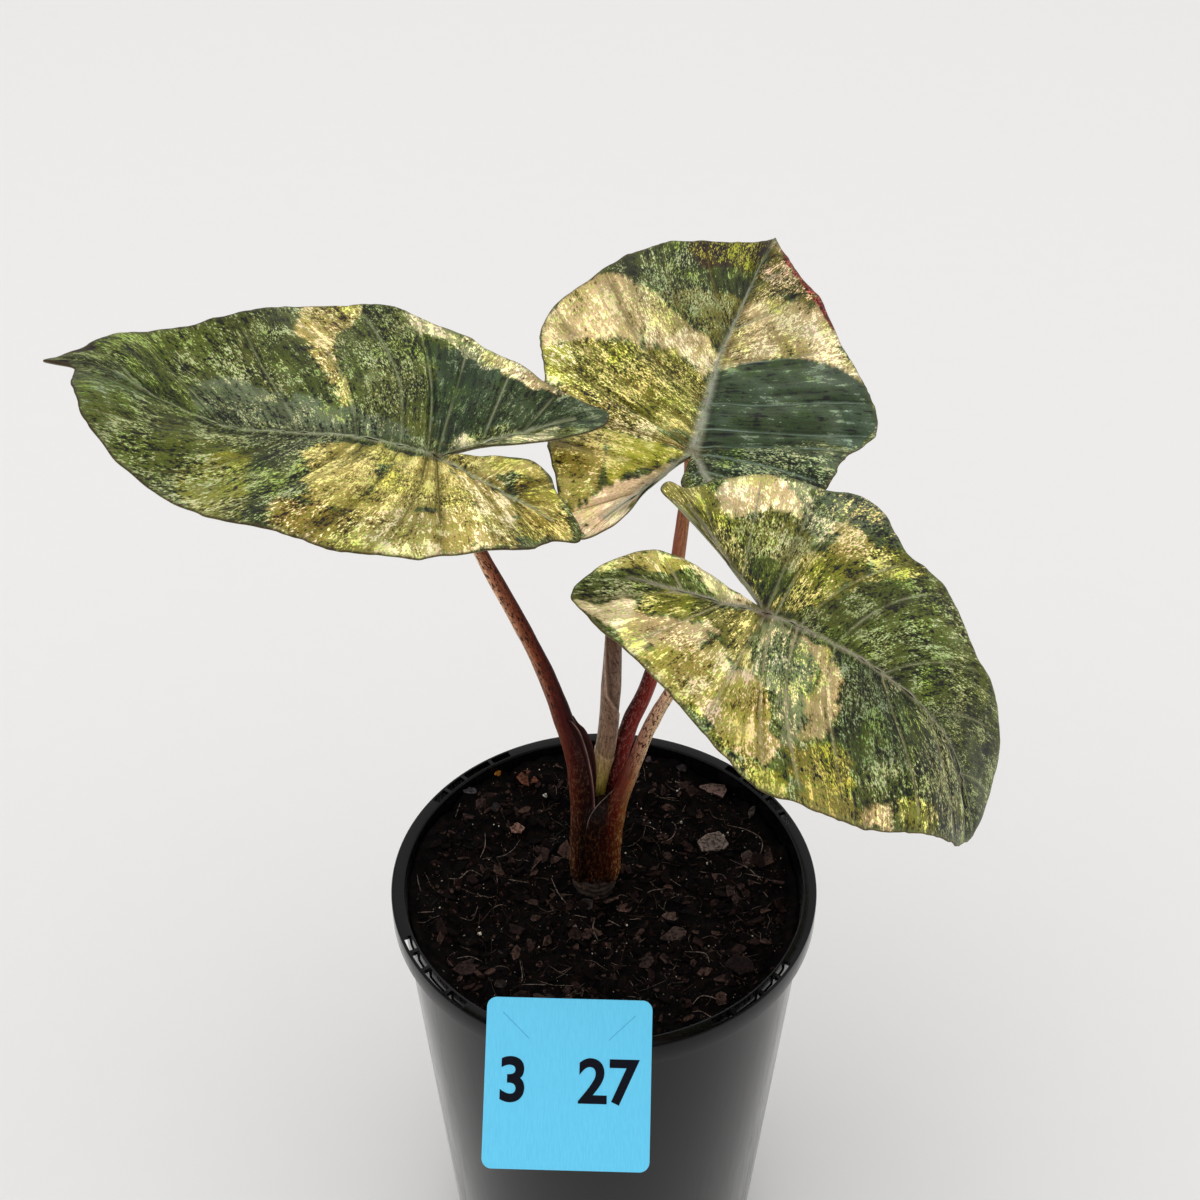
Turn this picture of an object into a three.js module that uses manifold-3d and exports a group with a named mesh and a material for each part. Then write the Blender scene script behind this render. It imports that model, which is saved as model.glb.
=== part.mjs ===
// A young giant taro with speckled leaves in a black nursery pot of bark mix, with a blank square tag.
// Millimetres, +Z up. The origin is the middle of the pot's flat base, and the tag faces -Y.

import * as THREE from 'three';
import { mergeVertices } from 'three/addons/utils/BufferGeometryUtils.js';
import Module from 'manifold-3d';

const wasm = await Module();
wasm.setup();

// Driving dimensions

const fitGap = 0.3; // clearance kept between pieces that touch

const pot = {
  height: 180,
  rimRadius: 70, // outside of the skirt
  wallTopRadius: 67.2,
  baseRadius: 55,
  wall: 1.6,
  floor: 2,
  skirtHeight: 8,
  skirtWall: 1,
  flange: 1.6,
  chamfer: 0.6,
  sides: 64,
};

// Windows in the rim's flange, two in front and two behind, bridged by narrow ribs
const rimWindow = {
  centres: [36, 134, 216, 314], // degrees round the pot
  span: 29,
  ribs: [5, 12, 22], // degrees from the end of a window that is nearer the pot's sides
  ribSpan: 1.1,
  innerRadius: 66.5,
  depth: 4.5,
};

const drain = { count: 8, ring: 38, radius: 4, sides: 16 };

const mix = {
  level: 171,
  slopeX: -0.03, // higher on the left
  slopeY: 0.03, // and at the back
  dish: 3.5, // rise from the middle to the wall
  lump: 1.3,
  rings: 10,
  sides: 44,
  chips: 36,
  chipLength: [3.5, 8],
  seed: 7,
};

const corm = { x: -3.2, y: 6.4, top: 178, bottom: 152, radius: 6.6, sides: 20 };

const blade = {
  thickness: 0.8,
  ribDepth: 1.5, // how far the midrib stands out beneath, at the stalk
  quilt: 0.7, // rise of the blade between two side veins
  lateralVeins: 7,
  lobeVeins: 3,
  rowsPerVein: 4,
  rowsPerLobeVein: 3,
  rings: [0, 0.06, 0.22, 0.42, 0.62, 0.82, 1],
  lobeRibReach: 0.72, // how much of the way to the lobe's tip its rib runs
  veinSweep: 1.6, // how much nearer the stalk a side vein leaves the midrib than it ends
  waveReach: 55,
};

const tag = {
  side: 50,
  thickness: 1.2,
  corner: 3,
  centre: [-11, -78.5, 175.5],
  lean: 39, // degrees between the plate and the level
  turn: -1.5,
  clipWidth: 12,
  clipWall: 2,
  clipReach: 9,
};

// Each leaf's midrib runs from the stalk to the tip. The outlines are [along the midrib, across it]
// on the leaf itself, from the notch round a lobe to the tip, for the half on the left of the midrib
// and the half on the right; lobe and shoulder are the points at the lobe's tip and abreast of the
// stalk.
const leaves = {
  left: {
    midrib: [
      [-47.3, 13, 340.3], [-66, 15, 344.4], [-86, 17, 345.1], [-106, 19, 345.6],
      [-123.7, 21.5, 352.6], [-139.5, 24, 362.2], [-157, 26, 363.7],
    ],
    roll: 0, twist: 0, fold: 0.16, droop: [0.12, 0.02], lobeDrop: [0.33, 0.33],
    wave: { height: 1.6, count: 9, phase: 0.6 }, lobeAngle: 143, lobeFold: 0.25,
    notch: [-2, -1.5],
    halves: [
      {
        lobe: 4, shoulder: 7,
        outline: [
          [-10, -4], [-27, -5], [-36, 8], [-44, 23], [-36, 26], [-29, 39], [-9, 47], [1, 51],
          [16, 52], [28, 49], [50, 47], [60, 41], [85, 31], [96, 25], [102, 14], [106, 3],
        ],
      },
      {
        lobe: 5, shoulder: 9,
        outline: [
          [-11, -8], [-22, -13], [-33, -19], [-44, -30], [-45, -38], [-33, -38], [-23, -38],
          [-11, -44], [0, -54], [13, -53], [24, -58], [37, -61], [52, -59], [67, -49], [77, -40],
          [95, -21], [103, -12], [108, -5],
        ],
      },
    ],
    stalk: {
      path: [
        [-7.4, 4.5, 178.5], [-7.2, 4.5, 193.4], [-7.3, 5, 209.1], [-8.1, 5.2, 222.4],
        [-9.6, 5.5, 233.1], [-12.2, 6, 243.8], [-14.7, 6.5, 253.4], [-19.2, 7.5, 267.3],
        [-24.6, 8.8, 280.5], [-30.2, 10, 293.4], [-35.7, 11.2, 306], [-41.6, 12.2, 322],
        [-47.3, 13, 340.3],
      ],
      halfLeft: [[0, 3.9], [0.2, 3.5], [0.4, 3.1], [0.6, 2.4], [1, 1.7]],
      halfRight: [[0, 3.9], [0.2, 3.9], [0.27, 5.6], [0.35, 4.4], [0.42, 3], [0.6, 2.4], [1, 1.7]],
      halfDepth: [[0, 4.6], [0.25, 3.6], [0.42, 2.9], [0.6, 2.4], [1, 1.7]],
    },
  },
  back: {
    midrib: [
      [27, 47, 318], [32, 70, 321.5], [37, 92, 324], [44, 114, 326], [51, 136, 328], [59, 157, 331],
    ],
    roll: 10, twist: 8, fold: 0.12, droop: [0.14, 0.16], lobeDrop: [0.4, 1.9],
    wave: { height: 1.6, count: 9, phase: 2 }, lobeAngle: 143, lobeFold: 0.25,
    notch: [-2, 0.5],
    halves: [
      {
        lobe: 5, shoulder: 8,
        outline: [
          [-12, 7], [-22, 11], [-33, 14], [-43, 20], [-46, 25], [-37, 32], [-14, 43], [3, 47],
          [24, 53], [38, 57], [46, 56], [57, 49], [83, 39], [93, 31], [98, 22], [104, 10], [112, 2],
        ],
      },
      {
        lobe: 5, shoulder: 8,
        outline: [
          [-8, 1], [-14, 1], [-19, -1], [-24, -6], [-28, -17], [-26, -29], [-10, -39], [1, -42],
          [20, -47], [29, -52], [39, -55], [52, -51], [76, -37], [95, -23], [100, -15], [107, -7],
        ],
      },
    ],
    stalk: {
      path: [
        [2.7, 10.9, 178.5], [2.3, 10.9, 198.9], [3.2, 11.4, 212.2], [5.1, 12.5, 223.3],
        [8.5, 15, 236.3], [13.2, 18.5, 246.8], [18.1, 24, 262.8], [21.3, 30, 278],
        [23.3, 36, 292.9], [25, 41, 304.5], [27, 47, 318],
      ],
      halfLeft: [[0, 2.4], [0.2, 2.8], [0.35, 3.4], [0.45, 2.7], [0.7, 2.2], [1, 1.8]],
      halfRight: [[0, 2.6], [0.3, 2.7], [0.45, 2.6], [0.7, 2.2], [1, 1.8]],
      halfDepth: [[0, 2.4], [0.3, 2.6], [0.45, 2.6], [0.7, 2.2], [1, 1.8]],
    },
  },
  right: {
    midrib: [
      [46, -10, 302], [65, -18, 297], [84, -24, 286], [98, -27, 270], [106, -28, 250],
      [111, -28, 229],
    ],
    roll: 14, twist: 0, fold: 0.2, droop: [0.24, 0.15], lobeDrop: [0.1, 0.3],
    wave: { height: 1.6, count: 9, phase: 4 }, lobeAngle: 143, lobeFold: 0.25,
    notch: [-2.5, 1],
    halves: [
      {
        lobe: 5, shoulder: 9,
        outline: [
          [-7, 5], [-21, 12], [-36, 19], [-44, 22], [-43, 26], [-38, 27], [-28, 37], [-15, 44],
          [-3, 51], [7, 57], [15, 54], [30, 41], [38, 42], [45, 41], [59, 27], [69, 26], [82, 25],
          [94, 23], [103, 17], [108, 8],
        ],
      },
      {
        lobe: 4, shoulder: 8,
        outline: [
          [-11, 2], [-29, 3], [-38, 0], [-49, -14], [-51, -23], [-44, -27], [-23, -37], [-1, -46],
          [20, -53], [28, -53], [39, -51], [54, -44], [84, -24], [97, -14], [106, -5],
        ],
      },
    ],
    stalk: {
      path: [
        [1.1, 4, 178.5], [2, 3.5, 196.8], [4.5, 3, 213.4], [9.1, 2, 230], [13.5, 0.5, 246.4],
        [18.4, -1.5, 260.7], [25.3, -4.5, 277.8], [34, -8, 292.4], [46, -10, 302],
      ],
      halfLeft: [[0, 3.9], [0.2, 3.3], [0.4, 2.2], [0.7, 1.9], [1, 1.7]],
      halfRight: [[0, 4], [0.2, 3.6], [0.4, 2.4], [0.7, 1.9], [1, 1.7]],
      halfDepth: [[0, 4], [0.2, 3.3], [0.4, 2.4], [0.7, 1.9], [1, 1.7]],
    },
  },
};

// The youngest leaf, still rolled into a spear
const newLeaf = {
  path: [
    [-3.4, 11.2, 178.5], [-3.2, 11, 199.4], [-2.1, 10.4, 213], [-0.2, 10, 226.6],
    [1.1, 10, 237.5], [2, 10, 250.3], [2.6, 9.7, 265.4], [2.9, 9.2, 279.4], [3, 8.6, 291.5],
    [3, 8.2, 299.4],
  ],
  radius: [[0, 1.9], [0.2, 1.9], [0.32, 2.1], [0.45, 2.8], [0.65, 3.3], [0.85, 2.5], [0.95, 1.5], [1, 0.5]],
  lap: 0.14, // step of the rolled edge, as a share of the radius
  lapTurns: 0.7,
  sides: 14,
};

const stalkSides = 12;
const stalkRings = 20;

// Shared shapes

const up = new THREE.Vector3(0, 0, 1);

function seededDraws(seed) {
  let state = seed;
  return () => {
    state = (state * 1664525 + 1013904223) % 4294967296;
    return state / 4294967296;
  };
}

// A value read off a list of [place, value] pairs, straight between them
function along(pairs, place) {
  const next = pairs.findIndex((pair) => pair[0] >= place);
  if (next <= 0) {
    return next === 0 ? pairs[0][1] : pairs[pairs.length - 1][1];
  }
  const [p0, v0] = pairs[next - 1];
  const [p1, v1] = pairs[next];
  return v0 + ((v1 - v0) * (place - p0)) / (p1 - p0);
}

function smoothStep(share) {
  const x = THREE.MathUtils.clamp(share, 0, 1);
  return x * x * (3 - 2 * x);
}

// A closed surface of plain triangles with its faces pointing out, from points and triples of them
function closedGeometry(points, triples) {
  const geometry = new THREE.BufferGeometry();
  geometry.setAttribute('position', new THREE.Float32BufferAttribute(points.flat(), 3));
  geometry.setIndex(triples.flat());
  const merged = mergeVertices(geometry, 1e-3);
  const index = merged.index.array;
  const corner = merged.attributes.position;
  const kept = [];
  let volume = 0;
  const [a, b, c] = [new THREE.Vector3(), new THREE.Vector3(), new THREE.Vector3()];
  for (let i = 0; i < index.length; i += 3) {
    const [p, q, r] = [index[i], index[i + 1], index[i + 2]];
    if (p !== q && q !== r && r !== p) {
      kept.push([p, q, r]);
      a.fromBufferAttribute(corner, p);
      b.fromBufferAttribute(corner, q);
      c.fromBufferAttribute(corner, r);
      volume += a.dot(b.cross(c));
    }
  }
  merged.setIndex(kept.map((face) => (volume < 0 ? face.reverse() : face)).flat());
  return merged;
}

// The same for a geometry of three.js, standing on +Z where it is made round +Y
function closedFrom(geometry, standUp = false) {
  const bare = geometry.clone();
  bare.deleteAttribute('normal');
  bare.deleteAttribute('uv');
  if (standUp) {
    bare.rotateX(Math.PI / 2);
  }
  const position = bare.attributes.position;
  const points = [];
  for (let i = 0; i < position.count; i += 1) {
    points.push([position.getX(i), position.getY(i), position.getZ(i)]);
  }
  const order = bare.index ? [...bare.index.array] : points.map((_, i) => i);
  const triples = [];
  for (let i = 0; i < order.length; i += 3) {
    triples.push([order[i], order[i + 1], order[i + 2]]);
  }
  return closedGeometry(points, triples);
}

function solidOf(geometry) {
  return new wasm.Manifold(new wasm.Mesh({
    numProp: 3,
    vertProperties: new Float32Array(geometry.attributes.position.array),
    triVerts: new Uint32Array(geometry.index.array),
  }));
}

function geometryOf(solid) {
  const mesh = solid.getMesh();
  const geometry = new THREE.BufferGeometry();
  geometry.setAttribute('position', new THREE.BufferAttribute(new Float32Array(mesh.vertProperties), 3));
  geometry.setIndex(new THREE.BufferAttribute(new Uint32Array(mesh.triVerts), 1));
  return geometry;
}

function cylinder(radius, bottom, top, x, y, sides) {
  const geometry = new THREE.CylinderGeometry(radius, radius, top - bottom, sides);
  const closed = closedFrom(geometry, true);
  return closed.translate(x, y, (top + bottom) / 2);
}

// A stack of rings, each a list of points in the same order, closed at both ends
function stackedRings(rings) {
  const sides = rings[0].length;
  const triples = [];
  const at = (ring, side) => ring * sides + (side % sides);
  for (let k = 0; k + 1 < rings.length; k += 1) {
    for (let i = 0; i < sides; i += 1) {
      triples.push([at(k, i), at(k, i + 1), at(k + 1, i + 1)]);
      triples.push([at(k, i), at(k + 1, i + 1), at(k + 1, i)]);
    }
  }
  const last = rings.length - 1;
  for (let i = 1; i + 1 < sides; i += 1) {
    triples.push([at(0, 0), at(0, i + 1), at(0, i)]);
    triples.push([at(last, 0), at(last, i), at(last, i + 1)]);
  }
  return closedGeometry(rings.flat(), triples);
}

// Pot

function wallRadius(z) {
  return pot.baseRadius + ((pot.wallTopRadius - pot.baseRadius) * z) / pot.height;
}

function potGeometry() {
  const { height, rimRadius, wall, floor, skirtWall, flange, chamfer } = pot;
  const under = height - flange;
  const skirtBottom = height - pot.skirtHeight;
  const profile = [
    [0, 0], [pot.baseRadius - chamfer, 0], [wallRadius(chamfer), chamfer],
    [wallRadius(under), under], [rimRadius - skirtWall, under],
    [rimRadius - skirtWall, skirtBottom], [rimRadius, skirtBottom],
    [rimRadius, height - chamfer], [rimRadius - chamfer, height],
    [wallRadius(height) - wall + chamfer, height], [wallRadius(height) - wall, height - chamfer],
    [wallRadius(floor) - wall, floor], [0, floor],
  ];
  const lathe = new THREE.LatheGeometry(profile.map(([r, z]) => new THREE.Vector2(r, z)), pot.sides);
  let body = solidOf(closedFrom(lathe, true));
  for (let i = 0; i < drain.count; i += 1) {
    const turn = (i * 2 * Math.PI) / drain.count;
    const x = drain.ring * Math.cos(turn);
    const y = drain.ring * Math.sin(turn);
    body = body.subtract(solidOf(cylinder(drain.radius, -1, floor + 1, x, y, drain.sides)));
  }
  for (const centre of rimWindow.centres) {
    for (const [from, to] of windowSlits(centre)) {
      body = body.subtract(solidOf(ringPiece(from, to)));
    }
  }
  return geometryOf(body);
}

// The open stretches of one window, as [from, to] in degrees; the ribs lie between them
function windowSlits(centre) {
  const faceRight = Math.cos(THREE.MathUtils.degToRad(centre)) > 0;
  const inFront = centre > 180;
  const sideEndFirst = faceRight !== inFront;
  const edges = [0];
  for (const rib of rimWindow.ribs) {
    edges.push(rib, rib + rimWindow.ribSpan);
  }
  edges.push(rimWindow.span);
  const start = centre - rimWindow.span / 2;
  const end = centre + rimWindow.span / 2;
  const slits = [];
  for (let i = 0; i < edges.length; i += 2) {
    slits.push(sideEndFirst
      ? [start + edges[i], start + edges[i + 1]]
      : [end - edges[i + 1], end - edges[i]]);
  }
  return slits;
}

function ringPiece(fromDegrees, toDegrees) {
  const from = THREE.MathUtils.degToRad(fromDegrees);
  const to = THREE.MathUtils.degToRad(toDegrees);
  const shape = new THREE.Shape();
  shape.absarc(0, 0, pot.rimRadius - pot.skirtWall, from, to, false);
  shape.absarc(0, 0, rimWindow.innerRadius, to, from, true);
  const steps = Math.max(1, Math.round((toDegrees - fromDegrees) / 4));
  const depth = rimWindow.depth + 1;
  const geometry = new THREE.ExtrudeGeometry(shape, { depth, bevelEnabled: false, curveSegments: steps });
  return closedFrom(geometry).translate(0, 0, pot.height - rimWindow.depth);
}

// Potting mix

function mixLevel(x, y) {
  const swell = Math.sin(x * 0.16 + 1) * Math.cos(y * 0.19 - 0.6) + 0.5 * Math.sin(x * 0.37 + y * 0.31);
  const dish = (mix.dish * (x * x + y * y)) / (pot.wallTopRadius * pot.wallTopRadius);
  return mix.level + mix.slopeX * x + mix.slopeY * y + dish + mix.lump * swell * 0.7;
}

function mixGeometry() {
  const draw = seededDraws(mix.seed);
  const bottom = pot.floor + fitGap;
  const outer = (z) => wallRadius(z) - pot.wall - fitGap;
  const topRadius = outer(mix.level) - 0.2;
  const points = [[0, 0, mixLevel(0, 0)]];
  const triples = [];
  const at = (ring, side) => 1 + (ring - 1) * mix.sides + (side % mix.sides);
  const addRing = (radius, height) => {
    for (let i = 0; i < mix.sides; i += 1) {
      const turn = (i * 2 * Math.PI) / mix.sides;
      const x = radius * Math.cos(turn);
      const y = radius * Math.sin(turn);
      points.push([x, y, height === null ? mixLevel(x, y) + mix.lump * (draw() - 0.5) : height]);
    }
  };
  for (let ring = 1; ring <= mix.rings; ring += 1) {
    addRing((topRadius * ring) / mix.rings, null);
  }
  addRing(outer(bottom), bottom);
  for (let i = 0; i < mix.sides; i += 1) {
    triples.push([0, at(1, i), at(1, i + 1)]);
    for (let ring = 1; ring <= mix.rings; ring += 1) {
      triples.push([at(ring, i), at(ring + 1, i), at(ring + 1, i + 1)]);
      triples.push([at(ring, i), at(ring + 1, i + 1), at(ring, i + 1)]);
    }
  }
  for (let i = 1; i + 1 < mix.sides; i += 1) {
    triples.push([at(mix.rings + 1, 0), at(mix.rings + 1, i + 1), at(mix.rings + 1, i)]);
  }
  let body = solidOf(closedGeometry(points, triples));
  for (let k = 0; k < mix.chips; k += 1) {
    body = body.add(solidOf(chipGeometry(draw, topRadius)));
  }
  const hole = cylinder(corm.radius + fitGap, corm.bottom - fitGap, pot.height, corm.x, corm.y, corm.sides);
  return geometryOf(body.subtract(solidOf(hole)));
}

// One bark chip: a flat five-sided flake, tipped a little and sunk well into the mix
function chipGeometry(draw, reach) {
  const [shortest, longest] = mix.chipLength;
  const length = shortest + (longest - shortest) * draw();
  const turn = draw() * 2 * Math.PI;
  const distance = 10 + (reach - 17) * Math.sqrt(draw());
  const outline = [];
  for (let i = 0; i < 5; i += 1) {
    const angle = (i * 2 * Math.PI) / 5 + 0.5 * (draw() - 0.5);
    outline.push(new THREE.Vector2(0.5 * length * Math.cos(angle), 0.32 * length * Math.sin(angle)));
  }
  const depth = 3.2;
  const flake = new THREE.ExtrudeGeometry(new THREE.Shape(outline), { depth, bevelEnabled: false });
  const x = distance * Math.cos(turn);
  const y = distance * Math.sin(turn);
  return closedFrom(flake)
    .translate(0, 0, -depth)
    .rotateZ(draw() * 2 * Math.PI)
    .rotateX(0.5 * (draw() - 0.5))
    .rotateY(0.5 * (draw() - 0.5))
    .translate(x, y, mixLevel(x, y) + 0.9);
}

// Corm: the short brown foot that the stalks rise from, standing in the mix

function cormGeometry() {
  const { top, bottom, radius } = corm;
  const profile = [
    [0, bottom], [radius * 0.55, bottom], [radius * 0.9, bottom + 5], [radius * 0.94, bottom + 14],
    [radius * 0.98, top - 6.5], [radius, top - 4], [radius * 0.95, top - 3.4], [radius, top - 2.6],
    [radius * 0.97, top - 0.5], [radius * 0.9, top], [0, top],
  ];
  const lathe = new THREE.LatheGeometry(profile.map(([r, z]) => new THREE.Vector2(r, z)), corm.sides);
  return closedFrom(lathe, true).translate(corm.x, corm.y, 0);
}

// Stalks and the rolled leaf

function smoothCurve(points) {
  return new THREE.CatmullRomCurve3(points.map((p) => new THREE.Vector3(...p)), false, 'catmullrom', 0.5);
}

// Slides a ring's point along the stalk until it lies on a plane
function slideTo(point, direction, origin, normal) {
  const lift = origin.clone().sub(point).dot(normal) / direction.dot(normal);
  return point.addScaledVector(direction, lift);
}

// One stalk, broad where it clasps its neighbours and slim under its leaf. The foot is cut level on
// the corm, the head parallel to the underside of the leaf.
function stalkGeometry(stalk, head) {
  const curve = smoothCurve(stalk.path);
  const foot = new THREE.Vector3(0, 0, corm.top + fitGap);
  const rings = [];
  for (let k = 0; k <= stalkRings; k += 1) {
    const u = k / stalkRings;
    const centre = curve.getPointAt(u);
    const ahead = curve.getTangentAt(u);
    const side = new THREE.Vector3(1, 0, 0).addScaledVector(ahead, -ahead.x).normalize();
    const front = side.clone().cross(ahead);
    const ring = [];
    for (let i = 0; i < stalkSides; i += 1) {
      const angle = (i * 2 * Math.PI) / stalkSides;
      const across = Math.cos(angle);
      const halfWidth = along(across > 0 ? stalk.halfRight : stalk.halfLeft, u);
      const point = centre.clone()
        .addScaledVector(side, halfWidth * across)
        .addScaledVector(front, along(stalk.halfDepth, u) * Math.sin(angle));
      if (k === 0) {
        slideTo(point, ahead, foot, up);
      }
      if (k === stalkRings) {
        slideTo(point, ahead, head.point, head.normal);
      }
      ring.push(point.toArray());
    }
    rings.push(ring);
  }
  return stackedRings(rings);
}

// The section of the rolled leaf is one turn of a spiral, whose step is the free edge of the blade
function newLeafGeometry() {
  const curve = smoothCurve(newLeaf.path);
  const foot = new THREE.Vector3(0, 0, corm.top + fitGap);
  const rings = [];
  for (let k = 0; k <= stalkRings; k += 1) {
    const u = k / stalkRings;
    const centre = curve.getPointAt(u);
    const ahead = curve.getTangentAt(u);
    const side = new THREE.Vector3(1, 0, 0).addScaledVector(ahead, -ahead.x).normalize();
    const front = side.clone().cross(ahead);
    const radius = along(newLeaf.radius, u);
    const lapAngle = 2 * Math.PI * newLeaf.lapTurns * u;
    const ring = [];
    for (let i = 0; i < newLeaf.sides; i += 1) {
      const turn = i / newLeaf.sides;
      const reach = radius * (1 - newLeaf.lap * turn);
      const angle = 2 * Math.PI * turn + lapAngle;
      const point = centre.clone()
        .addScaledVector(side, reach * Math.cos(angle))
        .addScaledVector(front, reach * Math.sin(angle));
      ring.push((k === 0 ? slideTo(point, ahead, foot, up) : point).toArray());
    }
    rings.push(ring);
  }
  return stackedRings(rings);
}

// Leaf blades

// Places points of a leaf, given along the midrib (s) and across it (t), in space
class LeafSurface {
  constructor(leaf) {
    this.leaf = leaf;
    this.curve = smoothCurve(leaf.midrib);
    this.length = this.curve.getLength();
    this.steps = 160;
    this.frames = [];
    let side = null;
    for (let i = 0; i <= this.steps; i += 1) {
      const u = i / this.steps;
      const ahead = this.curve.getTangentAt(u);
      if (side === null) {
        side = up.clone().cross(ahead).normalize();
        side.applyAxisAngle(ahead, THREE.MathUtils.degToRad(leaf.roll));
      }
      side.addScaledVector(ahead, -side.dot(ahead)).normalize();
      const turned = side.clone().applyAxisAngle(ahead, THREE.MathUtils.degToRad(leaf.twist * u));
      this.frames.push({ ahead, side: turned, normal: ahead.clone().cross(turned), point: this.curve.getPointAt(u) });
    }
  }

  // Height over the midrib: a shallow valley whose halves droop outwards, waves that grow towards
  // the edge, and a fold along the rib of each lobe
  height(s, t) {
    const { fold, droop, wave, lobeAngle, lobeFold } = this.leaf;
    const valley = fold * (Math.hypot(t, 2) - 2) - ((t > 0 ? droop[0] : droop[1]) * t * t) / 50;
    const reach = Math.min(Math.hypot(s, t), 70) / blade.waveReach;
    const clearOfMidrib = (t * t) / (t * t + 150);
    const swing = Math.sin(wave.count * Math.atan2(t, s) + wave.phase);
    const ripple = wave.height * swing * reach * reach * clearOfMidrib;
    const angle = THREE.MathUtils.degToRad(lobeAngle);
    const fromRib = s * Math.sin(angle) - Math.abs(t) * Math.cos(angle);
    return valley + ripple + lobeFold * (Math.hypot(fromRib, 2) - 2) * smoothStep(-s / 25);
  }

  point(s, t, lift = 0) {
    const place = THREE.MathUtils.clamp(s / this.length, 0, 1) * this.steps;
    const low = Math.min(Math.floor(place), this.steps - 1);
    const [a, b] = [this.frames[low], this.frames[low + 1]];
    const mixed = (key) => a[key].clone().lerp(b[key], place - low);
    const beyond = s < 0 ? s : Math.max(0, s - this.length);
    const share = smoothStep((t + 8) / 16);
    const lobeDrop = THREE.MathUtils.lerp(this.leaf.lobeDrop[1], this.leaf.lobeDrop[0], share);
    const drop = s < 0 ? lobeDrop * (s / 50) ** 2 * 10 : 0;
    return mixed('point')
      .addScaledVector(mixed('ahead'), beyond)
      .addScaledVector(mixed('side'), t)
      .addScaledVector(mixed('normal'), this.height(s, t) - drop + lift);
  }

  normal(s, t) {
    const step = 0.5;
    const alongWay = this.point(s + step, t).sub(this.point(s - step, t));
    const acrossWay = this.point(s, t + step).sub(this.point(s, t - step));
    return alongWay.cross(acrossWay).normalize();
  }
}

// Rows of one half run from its skeleton to the outline. Stage 0 to 1 goes out along the lobe's rib,
// 1 to 2 back along it, 2 to 3 along the midrib to the tip.
function halfRows(leaf, half, length) {
  const tip = [length, 0];
  const outline = [leaf.notch, ...half.outline, tip].map(([s, t]) => new THREE.Vector3(s, t, 0));
  const curve = new THREE.CatmullRomCurve3(outline, false, 'centripetal');
  const keys = [0, half.lobe, half.shoulder, outline.length - 1].map((i) => i / (outline.length - 1));
  const lobeTip = outline[half.lobe];
  const lobeRows = blade.lobeVeins * blade.rowsPerLobeVein;
  const counts = [lobeRows, lobeRows, blade.lateralVeins * blade.rowsPerVein];
  const rows = [];
  for (let stage = 0; stage < 3; stage += 1) {
    for (let k = stage === 0 ? 0 : 1; k <= counts[stage]; k += 1) {
      const share = k / counts[stage];
      const edge = curve.getPoint(keys[stage] + (keys[stage + 1] - keys[stage]) * share);
      const outward = (stage === 0 ? share : 1 - share) * blade.lobeRibReach;
      const root = stage === 2
        ? [length * share ** blade.veinSweep, 0]
        : [lobeTip.x * outward, lobeTip.y * outward];
      const veins = stage === 2 ? blade.lateralVeins : blade.lobeVeins;
      rows.push({ root, edge: [edge.x, edge.y], between: Math.abs(Math.sin(Math.PI * share * veins)) });
    }
  }
  return rows;
}

function bladeGeometry(leaf) {
  const surface = new LeafSurface(leaf);
  const rings = blade.rings;
  const last = rings.length - 1;
  const points = [];
  const triples = [];
  leaf.halves.forEach((half, sideIndex) => {
    const rows = halfRows(leaf, half, surface.length);
    const start = points.length;
    const at = (row, ring, below) => start + 2 * (row * rings.length + ring) + below;
    for (const { root, edge, between } of rows) {
      for (const share of rings) {
        const s = root[0] + (edge[0] - root[0]) * share;
        const t = root[1] + (edge[1] - root[1]) * share;
        const normal = surface.normal(s, t);
        const middle = surface.point(s, t, blade.quilt * between * Math.sin(Math.PI * share));
        const slim = 1 - 0.8 * THREE.MathUtils.clamp(Math.hypot(s, t) / surface.length, 0, 1);
        const rib = share === 0 ? blade.ribDepth * slim : 0;
        points.push(middle.clone().addScaledVector(normal, blade.thickness / 2).toArray());
        points.push(middle.addScaledVector(normal, -blade.thickness / 2 - rib).toArray());
      }
    }
    const face = (a, b, c) => triples.push(sideIndex === 0 ? [a, b, c] : [a, c, b]);
    for (let row = 0; row + 1 < rows.length; row += 1) {
      for (let ring = 0; ring < last; ring += 1) {
        const [a, b] = [at(row, ring, 0), at(row + 1, ring, 0)];
        const [c, d] = [at(row + 1, ring + 1, 0), at(row, ring + 1, 0)];
        face(a, b, c);
        face(a, c, d);
        face(a + 1, c + 1, b + 1);
        face(a + 1, d + 1, c + 1);
      }
      const [a, b] = [at(row, last, 0), at(row + 1, last, 0)];
      face(a, b, b + 1);
      face(a, b + 1, a + 1);
    }
  });
  return closedGeometry(points, triples);
}

// Where the stalk ends: just under the rib at the leaf's notch
function stalkHead(leaf) {
  const surface = new LeafSurface(leaf);
  const normal = surface.normal(0, 0);
  const below = blade.thickness / 2 + blade.ribDepth + fitGap;
  return { point: surface.point(0, 0).addScaledVector(normal, -below), normal };
}

// Tag: a plain square plate on a clip that sits over the pot's rim

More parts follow.
